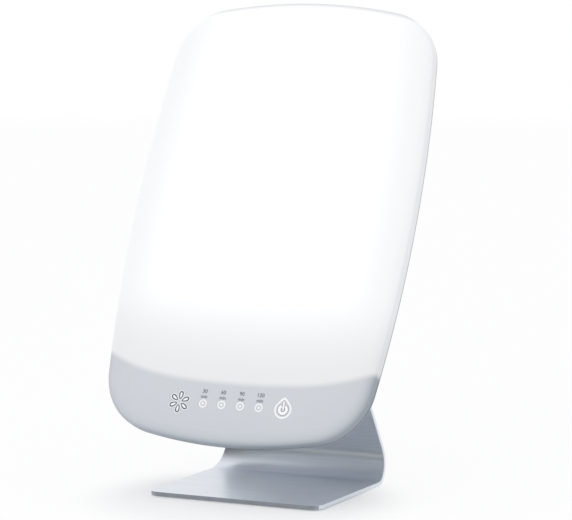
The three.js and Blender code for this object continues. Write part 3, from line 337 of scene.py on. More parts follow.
def grained(name, colours, roughness, grain, depth, patch=40, **surface):
    """Fine grain in the bump, and broad patches in tone and gloss. Grain, depth and patch are in mm."""
    material, tree, point = new_material(name)
    broad, fine = (add(tree, "ShaderNodeTexNoise", {
        "Vector": point, "Scale": 1 / (size * MM), "Detail": detail,
    }) for size, detail in ((patch, 3.0), (grain, 2.0)))
    tone = add(tree, "ShaderNodeMix", {"Factor": broad, 6: colours[0], 7: colours[1]}, data_type="RGBA")
    gloss = add(tree, "ShaderNodeMapRange", (broad, *NOISE_REACH, *roughness))
    bump = add(tree, "ShaderNodeBump", {"Height": fine, "Distance": depth * MM})
    shader = add(tree, "ShaderNodeBsdfPrincipled", {
        "Base Color": tone, "Roughness": gloss, "Normal": bump,
        **{socket.replace("_", " "): value for socket, value in surface.items()},
    })
    add(tree, "ShaderNodeOutputMaterial", {"Surface": shader})
    return material


def brushed_aluminium():
    """Aluminium plate, brushed from side to side and then anodised: a satin metal with fine level streaks.

    The streaks are drawn 1.2 mm wide, where real ones are about 0.1 mm, so that they show.
    """
    material, tree, point = new_material("brushed_anodised_aluminium")
    across = 1 / (1.2 * MM)
    along = add(tree, "ShaderNodeMapping", {"Vector": point, "Scale": (1 / (70 * MM), across, across)})
    streaks, broad = (add(tree, "ShaderNodeTexNoise", {
        "Vector": vector, "Scale": scale, "Detail": 3.0,
    }) for vector, scale in ((along, 1.0), (point, 1 / (90 * MM))))
    share = add(tree, "ShaderNodeMapRange", (streaks, *NOISE_REACH))
    tone = add(tree, "ShaderNodeMix", {"Factor": share, 6: "#e6ebf1", 7: "#dbe1e9"}, data_type="RGBA")
    both = add(tree, "ShaderNodeMath", (streaks, broad), operation="ADD")
    gloss = add(tree, "ShaderNodeMapRange", (both, 0.7, 1.3, 0.28, 0.38))
    bump = add(tree, "ShaderNodeBump", {"Height": streaks, "Distance": 0.005 * MM})
    shader = add(tree, "ShaderNodeBsdfPrincipled", {
        "Base Color": tone, "Metallic": 0.88, "Roughness": gloss, "Normal": bump,
    })
    add(tree, "ShaderNodeOutputMaterial", {"Surface": shader})
    return material


def opal_acrylic():
    """Opal acrylic (PMMA), injection moulded with a satin face, and lit from behind above the keys.

    The glow is even in the middle and falls off towards the rim and the key band, where the light
    strips end, so the face keeps a soft grey edge. The rounded edge and the skirt's foot are also darker in
    colour, partly as painted shade.
    """
    material, tree, point = new_material("opal_acrylic")
    to_head = HEAD.inverted()
    in_head = add(tree, "ShaderNodeMapping", {
        "Vector": point, "Location": to_head.to_translation(), "Rotation": to_head.to_euler(),
        "Scale": to_head.to_scale(),
    })
    axes = add(tree, "ShaderNodeSeparateXYZ", {"Vector": in_head}).outputs
    at = {"across": axes["X"], "up": axes["Y"], "out": axes["Z"]}
    # In millimetres: height above the curve that ends the lit zone, distance in from the bowed sides
    # and top, how far each glow has grown, and the least of them. Where the edge turns down, the light
    # comes through the thickness of the wall
    for name, operation, *terms in (
        ("beside", "SUBTRACT", "across", LIT_SHIFT),
        ("square", "MULTIPLY", "beside", "beside"),
        ("fourth", "MULTIPLY", "square", "square"),
        ("curve", "MULTIPLY_ADD", "square", -LIT_CURVE[0], "up"),
        ("above", "MULTIPLY_ADD", "fourth", -LIT_CURVE[1], "curve"),
        ("square", "MULTIPLY", "up", "up"),
        ("side", "MULTIPLY_ADD", "square", -SIDE_BOW / HALF_HEIGHT ** 2, HALF_WIDTH),
        ("reach", "ABSOLUTE", "across"),
        ("inside", "SUBTRACT", "side", "reach"),
        ("square", "MULTIPLY", "across", "across"),
        ("top", "MULTIPLY_ADD", "square", -TOP_BOW / HALF_WIDTH ** 2, HALF_HEIGHT),
        ("below", "SUBTRACT", "top", "up"),
        ("lit", None, "above", -LIT_REACH - LIT_EDGE / 2, -LIT_REACH + LIT_EDGE / 2, 0, 1),
        ("low_glow", None, "above", -LIT_REACH, LOW_FADE - LIT_REACH, LOW_GLOW, GLOW),
        ("side_glow", None, "inside", 0, SIDE_FADE, SIDE_GLOW, GLOW),
        ("top_glow", None, "below", 0, TOP_FADE, TOP_GLOW, GLOW),
        ("turn", None, "out", 0, TURN_FADE, TURN_SHARE, 1),
        ("edge", None, "out", *EDGE_TONE_AND_SHADE, 0, 1),
        ("foot", None, "out", FOOT_SHADE - SKIRT, FOOT_SHADE + FOOT_FADE - SKIRT, 0, 1),
        ("glow", "SMOOTH_MIN", "side_glow", "low_glow", GLOW_BLEND),
        ("glow", "MINIMUM", "glow", "top_glow"),
        ("glow", "MULTIPLY", "glow", "turn"),
        ("glow", "MULTIPLY", "glow", "lit"),
    ):
        terms = [at.get(term, term) for term in terms]
        at[name] = add(tree, "ShaderNodeMath", terms, operation=operation) if operation else add(
            tree, "ShaderNodeMapRange", terms, interpolation_type="SMOOTHSTEP")
    fine, at["broad"] = (add(tree, "ShaderNodeTexNoise", {
        "Vector": point, "Scale": 1 / (size * MM), "Detail": detail,
    }) for size, detail in ((0.8, 2.0), (60, 3.0)))
    bump = add(tree, "ShaderNodeBump", {"Height": fine, "Distance": 0.004 * MM})
    # White film lies behind the lit zone. The edge that turns down is darker, partly because nothing white
    # lies behind it and partly as painted shade where it turns away from the light, most of all beside the
    # key band.
    # The foot of the skirt, over the joint with the housing, carries painted shade of that joint
    for name, factor, first, second in (
        ("tone", "broad", "#d1d5da", "#cdd1d7"),
        ("tone", "lit", "tone", "#d4d5d6"),
        ("edge_tone_and_shade", "lit", "#929aa4", "#cacdd0"),
        ("tone", "edge", "edge_tone_and_shade", "tone"),
        ("foot_painted_shade", "lit", "#5f656c", "#b4b8bd"),
        ("tone", "foot", "foot_painted_shade", "tone"),
    ):
        at[name] = add(tree, "ShaderNodeMix", {
            "Factor": at[factor], 6: at.get(first, first), 7: at.get(second, second),
        }, data_type="RGBA")
    gloss = add(tree, "ShaderNodeMapRange", (at["broad"], *NOISE_REACH, 0.34, 0.42))
    shader = add(tree, "ShaderNodeBsdfPrincipled", {
        "Base Color": at["tone"], "Roughness": gloss, "Normal": bump, "IOR": 1.49,
        "Emission Color": "#fcfdff", "Emission Strength": at["glow"],
    })
    add(tree, "ShaderNodeOutputMaterial", {"Surface": shader})
    return material


def enamelled_copper():
    """Enamelled copper wire, wound in close turns: dark and bright bands across the coil, painted shade
    between the turns and painted highlight on them.
    """
    material, tree, point = new_material("enamelled_copper")
    turns = add(tree, "ShaderNodeTexWave", {
        "Vector": point, "Scale": 1 / (0.6 * MM) / 20, "Distortion": 0.4,
    }, bands_direction="Z")
    # Dark and bright bands: painted shade between the turns and painted highlight on them
    tone = add(tree, "ShaderNodeMix", {
        "Factor": turns.outputs["Fac"], 6: "#7a3c1c", 7: "#b8703c",
    }, data_type="RGBA")
    bump = add(tree, "ShaderNodeBump", {"Height": turns.outputs["Fac"], "Distance": 0.15 * MM})
    shader = add(tree, "ShaderNodeBsdfPrincipled", {
        "Base Color": tone, "Metallic": 0.8, "Roughness": 0.35, "Normal": bump,
    })
    add(tree, "ShaderNodeOutputMaterial", {"Surface": shader})
    return material


OPAL = opal_acrylic()
ANODISED = brushed_aluminium()
COPPER = enamelled_copper()
# ABS, moulded in a spark-eroded tool: white, with a fine even grain that breaks up highlights
ABS = grained("moulded_abs", ("#eaecee", "#e3e5e8"), (0.46, 0.56), 0.9, 0.02, IOR=1.53)
# A grey band on the rim of the housing, painted shade standing in for the shade in the joint with the
# cover: matt and grey
GREY_RIM_JOINT_SHADE = grained("grey_rim_painted_joint_shade", ("#a3a9b0", "#9ba1a8"), (0.7, 0.8), 1.0, 0.02, patch=12, IOR=1.5)
# The anodised plate's front end: duller and with no streaks, as a sawn end is, and darker as a painted dark
# reflection
SAWN_FRONT_PAINTED_DARK = grained("sawn_aluminium_painted_dark_reflection", ("#b2b7be", "#a9aeb6"), (0.45, 0.55), 0.9, 0.012, patch=6,
               Metallic=1.0)
# Steel, zinc plated: bluish grey, with cloudy patches of tone and gloss
ZINC = grained("zinc_plated_steel", ("#b4b9be", "#a3a9b0"), (0.28, 0.44), 0.5, 0.006, patch=9, Metallic=1.0)
# Stainless steel, turned: bright, nearly even
STAINLESS = grained("turned_stainless_steel", ("#c3c5c7", "#b7b9bc"), (0.2, 0.28), 0.3, 0.003, patch=5,
                    Metallic=1.0)
# Nitrile rubber, moulded: black and dull, with a pebbled grain
RUBBER = grained("nitrile_rubber", ("#232527", "#2b2d30"), (0.8, 0.92), 1.4, 0.05, IOR=1.52)
# Glass-filled nylon, moulded: black, with a faint fibre mottle
NYLON = grained("glass_filled_nylon", ("#1a1b1d", "#242628"), (0.42, 0.55), 0.7, 0.012, patch=6, IOR=1.53)
# Polycarbonate diffuser film, extruded matt: white and nearly flat
FILM = grained("polycarbonate_film", ("#f7f9fa", "#f2f5f7"), (0.55, 0.65), 0.4, 0.003, IOR=1.58)
# Aluminium sheet with a white coil coating: a faint orange peel
COATED = grained("coil_coated_sheet", ("#f5f5f4", "#efefee"), (0.4, 0.5), 1.6, 0.01, IOR=1.5)
# White solder mask on a circuit board: smooth and slightly cream
WHITE_MASK = grained("white_solder_mask", ("#f1f1ec", "#e9eae4"), (0.3, 0.42), 1.1, 0.006, patch=8,
                     IOR=1.55)
# Green solder mask on glass cloth: the weave shows as faint cloudiness
GREEN_MASK = grained("green_solder_mask", ("#1f5c3c", "#2b7049"), (0.28, 0.4), 0.9, 0.008, patch=3,
                     IOR=1.55)
# Acrylic, moulded clear and polished: glassy, all but free of grain
CLEAR = grained("clear_acrylic", ("#f4f8fa", "#eef4f7"), (0.04, 0.08), 2.0, 0.001, IOR=1.49,
                Transmission_Weight=0.9)
# Conductive foam, die cut: dark grey, with open cells
FOAM = grained("conductive_foam", ("#3c3f42", "#55595d"), (0.85, 0.98), 0.8, 0.12, patch=2, IOR=1.5)
# PVC insulation, extruded: black with a dull shine
PVC = grained("pvc_insulation", ("#1e1f21", "#27282b"), (0.38, 0.5), 1.2, 0.01, patch=10, IOR=1.53)
# Nylon connectors, moulded in natural white: creamy, with a soft shine
NATURAL_NYLON = grained("natural_nylon", ("#e9e6dc", "#dfdcd0"), (0.4, 0.5), 0.8, 0.008, patch=5, IOR=1.53)
# Screen-printing inks: opaque, thin and slightly duller than the plastic under them
WHITE_INK = grained("white_screen_ink", ("#fbfcfd", "#f5f7f9"), (0.45, 0.55), 0.4, 0.004, patch=4, IOR=1.5)
GREY_INK = grained("grey_screen_ink", ("#686f7b", "#606773"), (0.45, 0.55), 0.4, 0.004, patch=4, IOR=1.5)

NODE_FINISHES = (
    (FILM, ("diffuser_sheet",)),
    (ABS, ("light_baffle", "rear_housing")),
    (OPAL, ("diffuser_cover",)),
    (COATED, ("reflector_tray",)),
    (WHITE_MASK, ("led_strip",)),
    (GREEN_MASK, ("control_board", "driver_board")),
    (FOAM, ("touch_pad_timer", "touch_pad_power")),
    (CLEAR, ("light_pipe",)),
    (NYLON, ("driver_capacitor", "power_inlet", "friction_washer_left", "friction_washer_right")),
    (COPPER, ("driver_inductor",)),
    (NATURAL_NYLON, ("strip_connector", "inlet_connector")),
    (PVC, ("strip_lead", "inlet_lead", "control_lead", "strip_bus")),
    (ZINC, ("inlet_nut", "hinge_plate", "hinge_bracket", "hinge_pin", "hinge_nut", "spring_washer")),
    (ZINC, ("case_screw", "tray_screw", "bracket_screw")),
    (STAINLESS, ("block_screw",)),
    (ANODISED, ("stand_plate", "hinge_block")),
    (RUBBER, ("anti_slip_mat",)),
)


def dress(mesh, material):
    """Give a mesh one material and no other."""
    mesh.materials.clear()
    mesh.materials.append(material)


# Each node has the finish of its kind, which is its name without a number
for name, node in frame["nodes"].items():
    kind = name.rstrip("_0123456789")
    dress(node.data, next(material for material, kinds in NODE_FINISHES if kind in kinds))


# Making meshes

def skin(rows, joined=False):
    """Faces over rows of points with as many points each. A row of one point is a pole."""
    points, faces, starts = [], [], []
    for row in rows:
        starts.append(len(points))
        points.extend(row)
    pairs = [(k, (k + 1) % len(rows)) for k in range(len(rows) if joined else len(rows) - 1)]
    for low, high in pairs:
        below, above = len(rows[low]), len(rows[high])
        for k in range(max(below, above)):
            corners = [
                starts[low] + k % below, starts[low] + (k + 1) % below,
                starts[high] + (k + 1) % above, starts[high] + k % above,
            ]
            faces.append(tuple(dict.fromkeys(corners)))
    return points, faces


def capped(rows):
    """Faces over rows of points, closed at both ends by a pole in the middle of the end row."""
    first, last = ([tuple(sum(axis) / len(row) for axis in zip(*row))] for row in (rows[0], rows[-1]))
    return skin([first, *rows, last])


def merged(parts):
    """One list of points and faces from several."""
    points, faces = [], []
    for some_points, some_faces in parts:
        start = len(points)
        points.extend(some_points)
        faces.extend(tuple(start + k for k in face) for face in some_faces)
    return points, faces


def mesh_of(name, points, faces):
    mesh = bpy.data.meshes.new(name)
    mesh.from_pydata([tuple(p) for p in points], [], faces)
    mesh.validate()
    return mesh


def solid(name, *parts):
    """An object of points and faces, its faces turned outward and points that coincide merged."""
    mesh = mesh_of(name, *merged(parts))
    work = bmesh.new()
    work.from_mesh(mesh)
    bmesh.ops.remove_doubles(work, verts=work.verts, dist=1e-5)
    bmesh.ops.recalc_face_normals(work, faces=work.faces)
    work.to_mesh(mesh)
    work.free()
    return object_of(mesh)


def evaluated(made):
    """A mesh of what an object shows."""
    bpy.context.view_layer.update()
    return bpy.data.meshes.new_from_object(made.evaluated_get(bpy.context.evaluated_depsgraph_get()))


def combined(target, tool, operation):
    """The target after a boolean with a tool, which is used up."""
    step = target.modifiers.new("cut", "BOOLEAN")
    step.operation = operation
    step.object = tool
    step.solver = "EXACT"
    result = evaluated(target)
    result.name = target.data.name
    target.modifiers.clear()
    target.data = result
    bpy.data.objects.remove(tool)
    return target


def place(made, matrix, material, body, *nodes, sharp=30, edge=0):
    """Put a finished shape in the row frame, with smooth shading, its material and its body."""
    made.data.transform(matrix)
    dress(made.data, material)
    made.data.shade_smooth()
    made.data.set_sharp_from_angle(angle=radians(sharp))
    if edge:
        bevel = made.modifiers.new("edge", "BEVEL")
        bevel.width = edge * MM
        bevel.segments = 2
        bevel.limit_method = "ANGLE"
        bevel.angle_limit = radians(sharp)
    flat = made.modifiers.new("flat", "WEIGHTED_NORMAL")
    flat.keep_sharp = True
    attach(made, body)
    if nodes:
        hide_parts(*nodes)
    return made


def refinish(made, material, chosen):
    """Give the chosen faces of a piece a second material."""
    made.data.materials.append(material)
    for face in made.data.polygons:
        if chosen(face):
            face.material_index = 1


# Outline of the head

def quarter(top_bow, corner):
    """Arcs of one quarter as centre, radius and angle: side, corner and end, each tangent to the next."""
    side_radius = (HALF_HEIGHT ** 2 + SIDE_BOW ** 2) / (2 * SIDE_BOW)
    end_radius = (HALF_WIDTH ** 2 + top_bow ** 2) / (2 * top_bow)
    side = Vector((HALF_WIDTH - side_radius, 0))
    end = Vector((0, HALF_HEIGHT - end_radius))
    span = (end - side).length
    from_side, from_end = side_radius - corner, end_radius - corner
    along = (from_side ** 2 - from_end ** 2 + span ** 2) / (2 * span)
    unit = (end - side) / span
    normal = Vector((-unit.y, unit.x))
    hand = copysign(1, normal.x + normal.y)
    middle = side + unit * along + normal * hand * sqrt(from_side ** 2 - along ** 2)
    first = atan2(*(middle - side).yx)
    second = atan2(*(middle - end).yx)
    arcs = (
        (side, side_radius, 0, first), (middle, corner, first, second), (end, end_radius, second, pi / 2),
    )
    stations = []
    for (centre, radius, low, high), count in zip(arcs, ARC_STEPS):
        stations += [(centre, radius, low + (high - low) * k / count) for k in range(count)]
    stations.append((end, end_radius, pi / 2))
    return stations


def outline():
    """Stations all round the head, turning left from its right-hand side."""
    top, bottom = quarter(TOP_BOW, TOP_CORNER), quarter(BOTTOM_BOW, BOTTOM_CORNER)
    around = []
    for stations, flip_x, flip_y in ((top, 1, 1), (top, -1, 1), (bottom, -1, -1), (bottom, 1, -1)):
        part = [(Vector((c.x * flip_x, c.y * flip_y)), r, cos(a) * flip_x, sin(a) * flip_y)
                for c, r, a in stations]
        if flip_x * flip_y < 0:
            part.reverse()
        around += part[:-1]
    return around


AROUND = outline()


def ring(inset, height):
    return [(c.x + (r - inset) * run, c.y + (r - inset) * rise, height) for c, r, run, rise in AROUND]


def arc_steps(count, first=0.0, last=pi / 2):
    return [first + (last - first) * k / count for k in range(count + 1)]


def face_rows(wall):
    """Rows from the start of the rounded edge to the middle of the crown, at a depth in the wall."""
    inset, rise = EDGE_INSET - wall, EDGE_RISE - wall
    slope = 2 * CROWN_RISE / (HALF_WIDTH * CROWN_SPREAD)
    last = atan(rise / (slope * inset))
    wide, tall = inset / (1 - cos(last)), rise / sin(last)
    rows = [ring(wall + wide * (1 - cos(turn)), tall * sin(turn))
            for turn in arc_steps(FACE_STEPS, 0, last)]
    rim = rows[-1]
    for k in range(1, FACE_STEPS):
        share = 1 - k / FACE_STEPS
        rows.append([(x * share, y * share, rise + CROWN_RISE * (1 - share ** 2)) for x, y, _ in rim])
    rows.append([(0, 0, rise + CROWN_RISE)])
    return rows


# Round and prismatic shapes

def disc_row(radius, height, x=0, y=0, sides=40, shape=None):
    """A round row of points, or one whose radius follows shape."""
    row = []
    for k in range(sides):
        turn = 2 * pi * k / sides
        reach = radius * (shape(turn) if shape else 1)
        row.append((x + reach * cos(turn), y + reach * sin(turn), height))
    return row


def turned(profile, x=0, y=0, sides=40, joined=False):
    """A profile of radius, height and at times a cross-section, turned about the Z axis."""
    rows = [disc_row(radius, height, x, y, sides, *shape) if radius else [(x, y, height)]
            for radius, height, *shape in profile]
    return skin(rows, joined)


def post(radius, low, high, x, y, sides=40):
    return turned([(0, low), (radius, low), (radius, high), (0, high)], x, y, sides)


def prism(edge, low, high, x=0, y=0):
    """An outline in X and Y about a middle, carried from one height to another."""
    return skin([[(x, y, low)], [(*p, low) for p in edge], [(*p, high) for p in edge], [(x, y, high)]])


def slab(half_width, half_height, corner, bottom, top, y=0):
    """A plate with round corners."""
    edge = []
    for k, (across, up) in enumerate(((1, 1), (-1, 1), (-1, -1), (1, -1))):
        middle_x, middle_y = across * (half_width - corner), y + up * (half_height - corner)
        edge += [(middle_x + corner * cos(t), middle_y + corner * sin(t))
                 for t in arc_steps(8, k * pi / 2, (k + 1) * pi / 2)]
    return prism(edge, bottom, top, 0, y)


def four(across, up):
    """Four places about a middle."""
    return [(h * across, v * up) for h in (-1, 1) for v in (-1, 1)]


def hexagon(turn):
    """Share of the radius over corners at which a hexagon lies."""
    return cos(pi / 6) / cos(turn % (pi / 3) - pi / 6)


def lobed(turn):
    """Six round lobes, as in a screw's drive recess."""
    return 1 + LOBE * cos(6 * turn)


def bored(made, radius, matrix):
    """A piece with a hole for the hinge pin right through it."""
    bore = solid("bore", post(radius, -BORE_REACH, BORE_REACH, 0, 0, 48))
    bore.data.transform(matrix)
    return combined(made, bore, "DIFFERENCE")


# Head

def case_places():
    """Places of the six case screws."""
    def reach(half, other, bow, along):
        radius = (other ** 2 + bow ** 2) / (2 * bow)
        return half - radius + sqrt((radius - POST_INSET) ** 2 - along ** 2)
    top = reach(HALF_HEIGHT, HALF_WIDTH, TOP_BOW, POST_ACROSS)
    side = reach(HALF_WIDTH, HALF_HEIGHT, SIDE_BOW, POST_UP)
    bottom = reach(HALF_HEIGHT, HALF_WIDTH, BOTTOM_BOW, POST_ACROSS)
    return [spot for hand in (-1, 1)
            for spot in ((hand * POST_ACROSS, top), (hand * side, POST_UP), (hand * POST_ACROSS, -bottom))]


CASE_PLACES = case_places()
BRACKET_PLACES = [(x, y - HINGE_DROP) for x, y in four(*BRACKET_SCREWS)]
BLOCK_PLACES = [(x, TO_HINGE + y) for x, y in four(*BLOCK_SCREWS)]


def make_cover():
    """The opal tray: its skirt, its rounded edge and its crowned face, with a wall behind them."""
    part_round = COVER_ROUND * 0.3
    outer = [ring(COVER_ROUND, -SKIRT), ring(part_round, part_round - SKIRT), ring(0, COVER_ROUND - SKIRT)]
    inner = [ring(COVER_WALL, -SKIRT)]
    shell = skin(outer + face_rows(0) + face_rows(COVER_WALL)[::-1] + inner, joined=True)
    bore, outside = POST_RADII
    tube = [(bore, -SKIRT), (outside, -SKIRT), (outside, POST_TOP), (bore, POST_TOP)]
    return solid("cover", shell, *(turned(tube, x, y, joined=True) for x, y in CASE_PLACES))


def slot_cut(x, y, low, high):
    half, end = (VENT_LENGTH - VENT_WIDTH) / 2, VENT_WIDTH / 2
    edge = [(x + side * half + end * cos(t), y + end * sin(t))
            for side, first in ((1, -pi / 2), (-1, pi / 2)) for t in arc_steps(8, first, first + pi)]
    return prism(edge, low, high, x, y)


def make_housing():
    """The moulded rear shell: a short rim, a drafted wall, a round back edge, vents and screw pockets."""
    slope_end = REVEAL + DRAFT
    outer = [[(0, 0, HOUSING_BACK)]]
    outer += [[(x * share, y * share, z) for x, y, z in ring(slope_end + BACK_EDGE_INSET, HOUSING_BACK)]
              for share in (0.4, 0.8, 0.97)]
    outer += [ring(slope_end + BACK_EDGE_INSET * (1 - sin(t)),
                   HOUSING_BACK + BACK_EDGE_RISE * (1 - cos(t))) for t in arc_steps(8)]
    outer += [ring(REVEAL + DRAFT * (1 - share), DRAFT_BOTTOM + (DRAFT_TOP - DRAFT_BOTTOM) * share)
              for share in arc_steps(DRAFT_STEPS, 0, 1)[1:]]
    outer += [ring(REVEAL, HOUSING_TOP - HOUSING_ROUND), ring(REVEAL + HOUSING_ROUND, HOUSING_TOP)]
    lip = COVER_WALL + SEAM
    inner = [
        ring(lip, HOUSING_TOP), ring(lip + HOUSING_WALL, HOUSING_TOP), ring(lip + HOUSING_WALL, DRAFT_TOP),
        ring(slope_end + HOUSING_WALL, HOUSING_BACK + HOUSING_WALL), [(0, 0, HOUSING_BACK + HOUSING_WALL)],
    ]
    shell = solid("housing", skin(outer + inner))
    boss = POCKET_RADIUS + POCKET_WALL
    bosses = [post(boss, HOUSING_BACK - 1, HOUSING_TOP - 1, x, y, 32) for x, y in CASE_PLACES]
    envelope = solid("envelope", skin(outer + [[(0, 0, HOUSING_TOP)]]))
    shell = combined(shell, combined(solid("bosses", *bosses), envelope, "INTERSECT"), "UNION")
    beyond, inside = HOUSING_BACK - 3, HOUSING_BACK + HOUSING_WALL + 2
    cuts = [post(POCKET_RADIUS, beyond, HOUSING_TOP - POCKET_FLOOR, x, y) for x, y in CASE_PLACES]
    cuts += [post(BRACKET_HOLE, beyond, inside, x, y, 24) for x, y in BRACKET_PLACES]
    cuts.append(post(INLET_HOLE, beyond, inside, *INLET))
    for top, rows in VENT_ROWS:
        cuts += [slot_cut(column * VENT_SPACING, top - row * VENT_PITCH, beyond, inside)
                 for row in range(rows) for column in (-1, 0, 1)]
    return combined(shell, solid("cuts", *cuts), "DIFFERENCE")


# Stand

def plate_row(along, trim):
    """Section of the plate with rounded edges, across X and through the thickness."""
    y, z, turn = blank_point(along)
    half = BASE_HALF_WIDTH - max(along - BASE_LENGTH - TAPER_SETBACK, 0) * tan(TAPER) - trim
    row = []
    for k in range(4):
        hand = 1 if k < 2 else -1
        depth = PLATE - PLATE_EDGE if k in (1, 2) else PLATE_EDGE
        row += [(hand * (half - PLATE_EDGE) + PLATE_EDGE * cos(t), depth + PLATE_EDGE * sin(t))
                for t in arc_steps(4, (k - 1) * pi / 2, k * pi / 2)]
    return [(x, y + depth * sin(turn), z - depth * cos(turn)) for x, depth in row]


def make_plate():
    """One aluminium plate: flat base, wide bend and an upright that narrows upwards."""
    start = BASE_LENGTH + BEND_LENGTH
    length = start + TO_HINGE + ABOVE_HINGE
    end = length - TOP_CORNER_ROUND
    stations = [(FRONT_CORNER * (1 - cos(t)), FRONT_CORNER * (1 - sin(t))) for t in arc_steps(12)]
    stations += [(FRONT_CORNER + (BASE_LENGTH - FRONT_CORNER) * k / 6, 0) for k in range(1, 6)]
    stations += [(BASE_LENGTH + BEND_LENGTH * k / BEND_STEPS, 0) for k in range(BEND_STEPS + 1)]
    stations += [(start + (end - start) * k / 6, 0) for k in range(1, 6)]
    stations += [(length - TOP_CORNER_ROUND * (1 - sin(t)), TOP_CORNER_ROUND * (1 - cos(t)))
                 for t in arc_steps(12)]
    plate = solid("plate", capped([plate_row(*station) for station in stations]))
    (wide, narrow, depth), (behind, front) = SINK, SINK_BEYOND
    back = -PLATE - behind
    sink = [(0, back), (wide, back), (narrow, depth - PLATE), (narrow, front), (0, front)]
    sinks = solid("sinks", *(turned(sink, x, y) for x, y in BLOCK_PLACES))
    sinks.data.transform(ROW.inverted() @ UPRIGHT)
    return combined(plate, sinks, "DIFFERENCE")


def place_large_pieces():
    place(make_cover(), HEAD, OPAL, "head", "diffuser_cover")
    housing = place(make_housing(), HEAD, ABS, "head", "rear_housing", sharp=35)
    to_head = HEAD.inverted()
    # The rim of the housing takes the grey band of painted joint shade
    refinish(housing, GREY_RIM_JOINT_SHADE, lambda face: DRAFT_TOP < (to_head @ face.center).z < HOUSING_TOP)
    place(solid("inlet_jack", make_inlet()), HEAD, NYLON, "head", "power_inlet")
    place(solid("inlet_pin", make_inlet_pin()), HEAD, STAINLESS, "head")
    plate = place(make_plate(), ROW, ANODISED, "stand", "stand_plate", sharp=35)
    # Only the end that faces forward is darker: painted dark reflection
    refinish(plate, SAWN_FRONT_PAINTED_DARK, lambda face: face.normal.y < -0.6 and face.center.z < BASE_TOP * MM)
    mat = slab(BASE_HALF_WIDTH - MAT_INSET, BASE_LENGTH / 2 - MAT_INSET, MAT_CORNER, 0, MAT_THICKNESS)
    place(solid("mat", mat), ROW, RUBBER, "stand", "anti_slip_mat", edge=0.2)


# Screws and inlet

def thread(low, high, radius, pitch, depth, steps=8):
    """Rows of a screw thread, cut into the radius."""
    def cut(z):
        return lambda turn: 1 - depth / radius * abs(2 * ((z / pitch - turn / (2 * pi)) % 1) - 1)
    heights = [low + k * pitch / steps for k in range(round((high - low) / pitch * steps) + 1)]
    return [(radius, z, cut(z)) for z in heights]


def drive(top, rim):
    """Rows of a lobed drive recess, from its floor to its rim."""
    floor = top + DRIVE_DEPTH
    return [(0, floor), (DRIVE_RADIUS * 0.9, floor, lobed), (DRIVE_RADIUS, top + SCREW_EDGE, lobed),
            (DRIVE_RADIUS + rim, top)]


def make_pan_screw(name, sizes, seat, tip, x, y):
    shank, head, height = sizes
    top = seat - height
    crown = [(head * (0.5 + 0.5 * sin(t)), top + height * 0.7 * (1 - cos(t))) for t in arc_steps(8)]
    profile = [
        *drive(top, 0.2), *crown, (head, seat - SCREW_EDGE), (head - SCREW_EDGE, seat), (shank, seat),
        *thread(seat + 0.5, tip - shank, shank, *TAPPING_THREAD), (shank * 0.5, tip), (0, tip),
    ]
    return solid(name, turned(profile, x, y))


def make_block_screw(name, x, y):
    """A countersunk screw through the plate from behind, its head flush."""
    shank, head, height = BLOCK_SCREW
    back, tip = -PLATE, BLOCK_SCREW_TIP
    profile = [
        *drive(back, SCREW_EDGE), (head - SCREW_EDGE, back), (head, back + SCREW_EDGE),
        (shank, back + height), *thread(back + height + 0.3, tip - 0.5, shank, *MACHINE_THREAD),
        (shank * 0.7, tip), (0, tip),
    ]
    return solid(name, turned(profile, x, y))


def make_inlet():
    """A low-voltage jack: collar, threaded barrel, and a bore with a rounded rim."""
    (bore, depth), (collar, thickness), (barrel, length), (tail, tail_length) = (
        JACK_BORE, JACK_COLLAR, JACK_BARREL, JACK_TAIL)
    seat, end = BRACKET_FRONT, BRACKET_FRONT + length
    mouth = seat - thickness
    profile = [
        (0, mouth + depth), (bore, mouth + depth), (bore, mouth + 0.4), (bore + 0.3, mouth),
        (collar - 0.6, mouth), (collar - 0.15, mouth + 0.2), (collar, mouth + 0.6), (collar, seat),
        (barrel, seat), *thread(seat + 0.3, end - 0.4, barrel, *JACK_THREAD), (barrel - 0.3, end),
        (tail, end), (tail, end + tail_length), (0, end + tail_length),
    ]
    return turned(profile, *INLET, sides=64)


def make_inlet_pin():
    """The jack's centre pin, with a round nose."""
    mouth, (radius, length) = BRACKET_FRONT - JACK_COLLAR[1], JACK_PIN
    nose = [(radius * sin(t), mouth + 1 + radius * (1 - cos(t))) for t in arc_steps(6)]
    return turned(nose + [(radius, mouth + length), (0, mouth + length)], *INLET, sides=24)


def place_screws():
    for kind, places, seat, tip, sizes in (
        ("case", CASE_PLACES, HOUSING_TOP - POCKET_FLOOR - SEAM, CASE_SCREW_TIP, CASE_SCREW),
        ("bracket", BRACKET_PLACES, BRACKET_BACK - SEAM, BRACKET_SCREW_TIP, BRACKET_SCREW),
    ):
        for k, (x, y) in enumerate(places, 1):
            screw = make_pan_screw(f"{kind}_screw_pan_{k}", sizes, seat, tip, x, y)
            place(screw, HEAD, ZINC, "head", f"{kind}_screw_{k}")
    for k, (x, y) in enumerate(BLOCK_PLACES, 1):
        screw = make_block_screw(f"block_screw_flat_{k}", x, y)
        place(screw, UPRIGHT, STAINLESS, "stand", f"block_screw_{k}")


# Hinge

def extruded(profile, low, high):
    """A profile in Y and Z, carried along X."""
    return capped([[(x, *p) for p in profile] for x in (low, high)])


def ear_profile():
    """A bar with a round end about the pin, which widens towards the plate."""
    rise, foot = HINGE_SETBACK + BRACKET_FRONT, BRACKET_HALF[1] - BRACKET_CORNER
    touch = atan2(foot, rise) + acos(EAR_RADIUS / hypot(foot, rise))
    end = [(-HINGE_DROP + EAR_RADIUS * sin(t), -HINGE_SETBACK + EAR_RADIUS * cos(t))
           for t in arc_steps(24, -touch, touch - 2 * pi)]
    return [(-HINGE_DROP - foot, BRACKET_FRONT - 1), *end, (-HINGE_DROP + foot, BRACKET_FRONT - 1)]


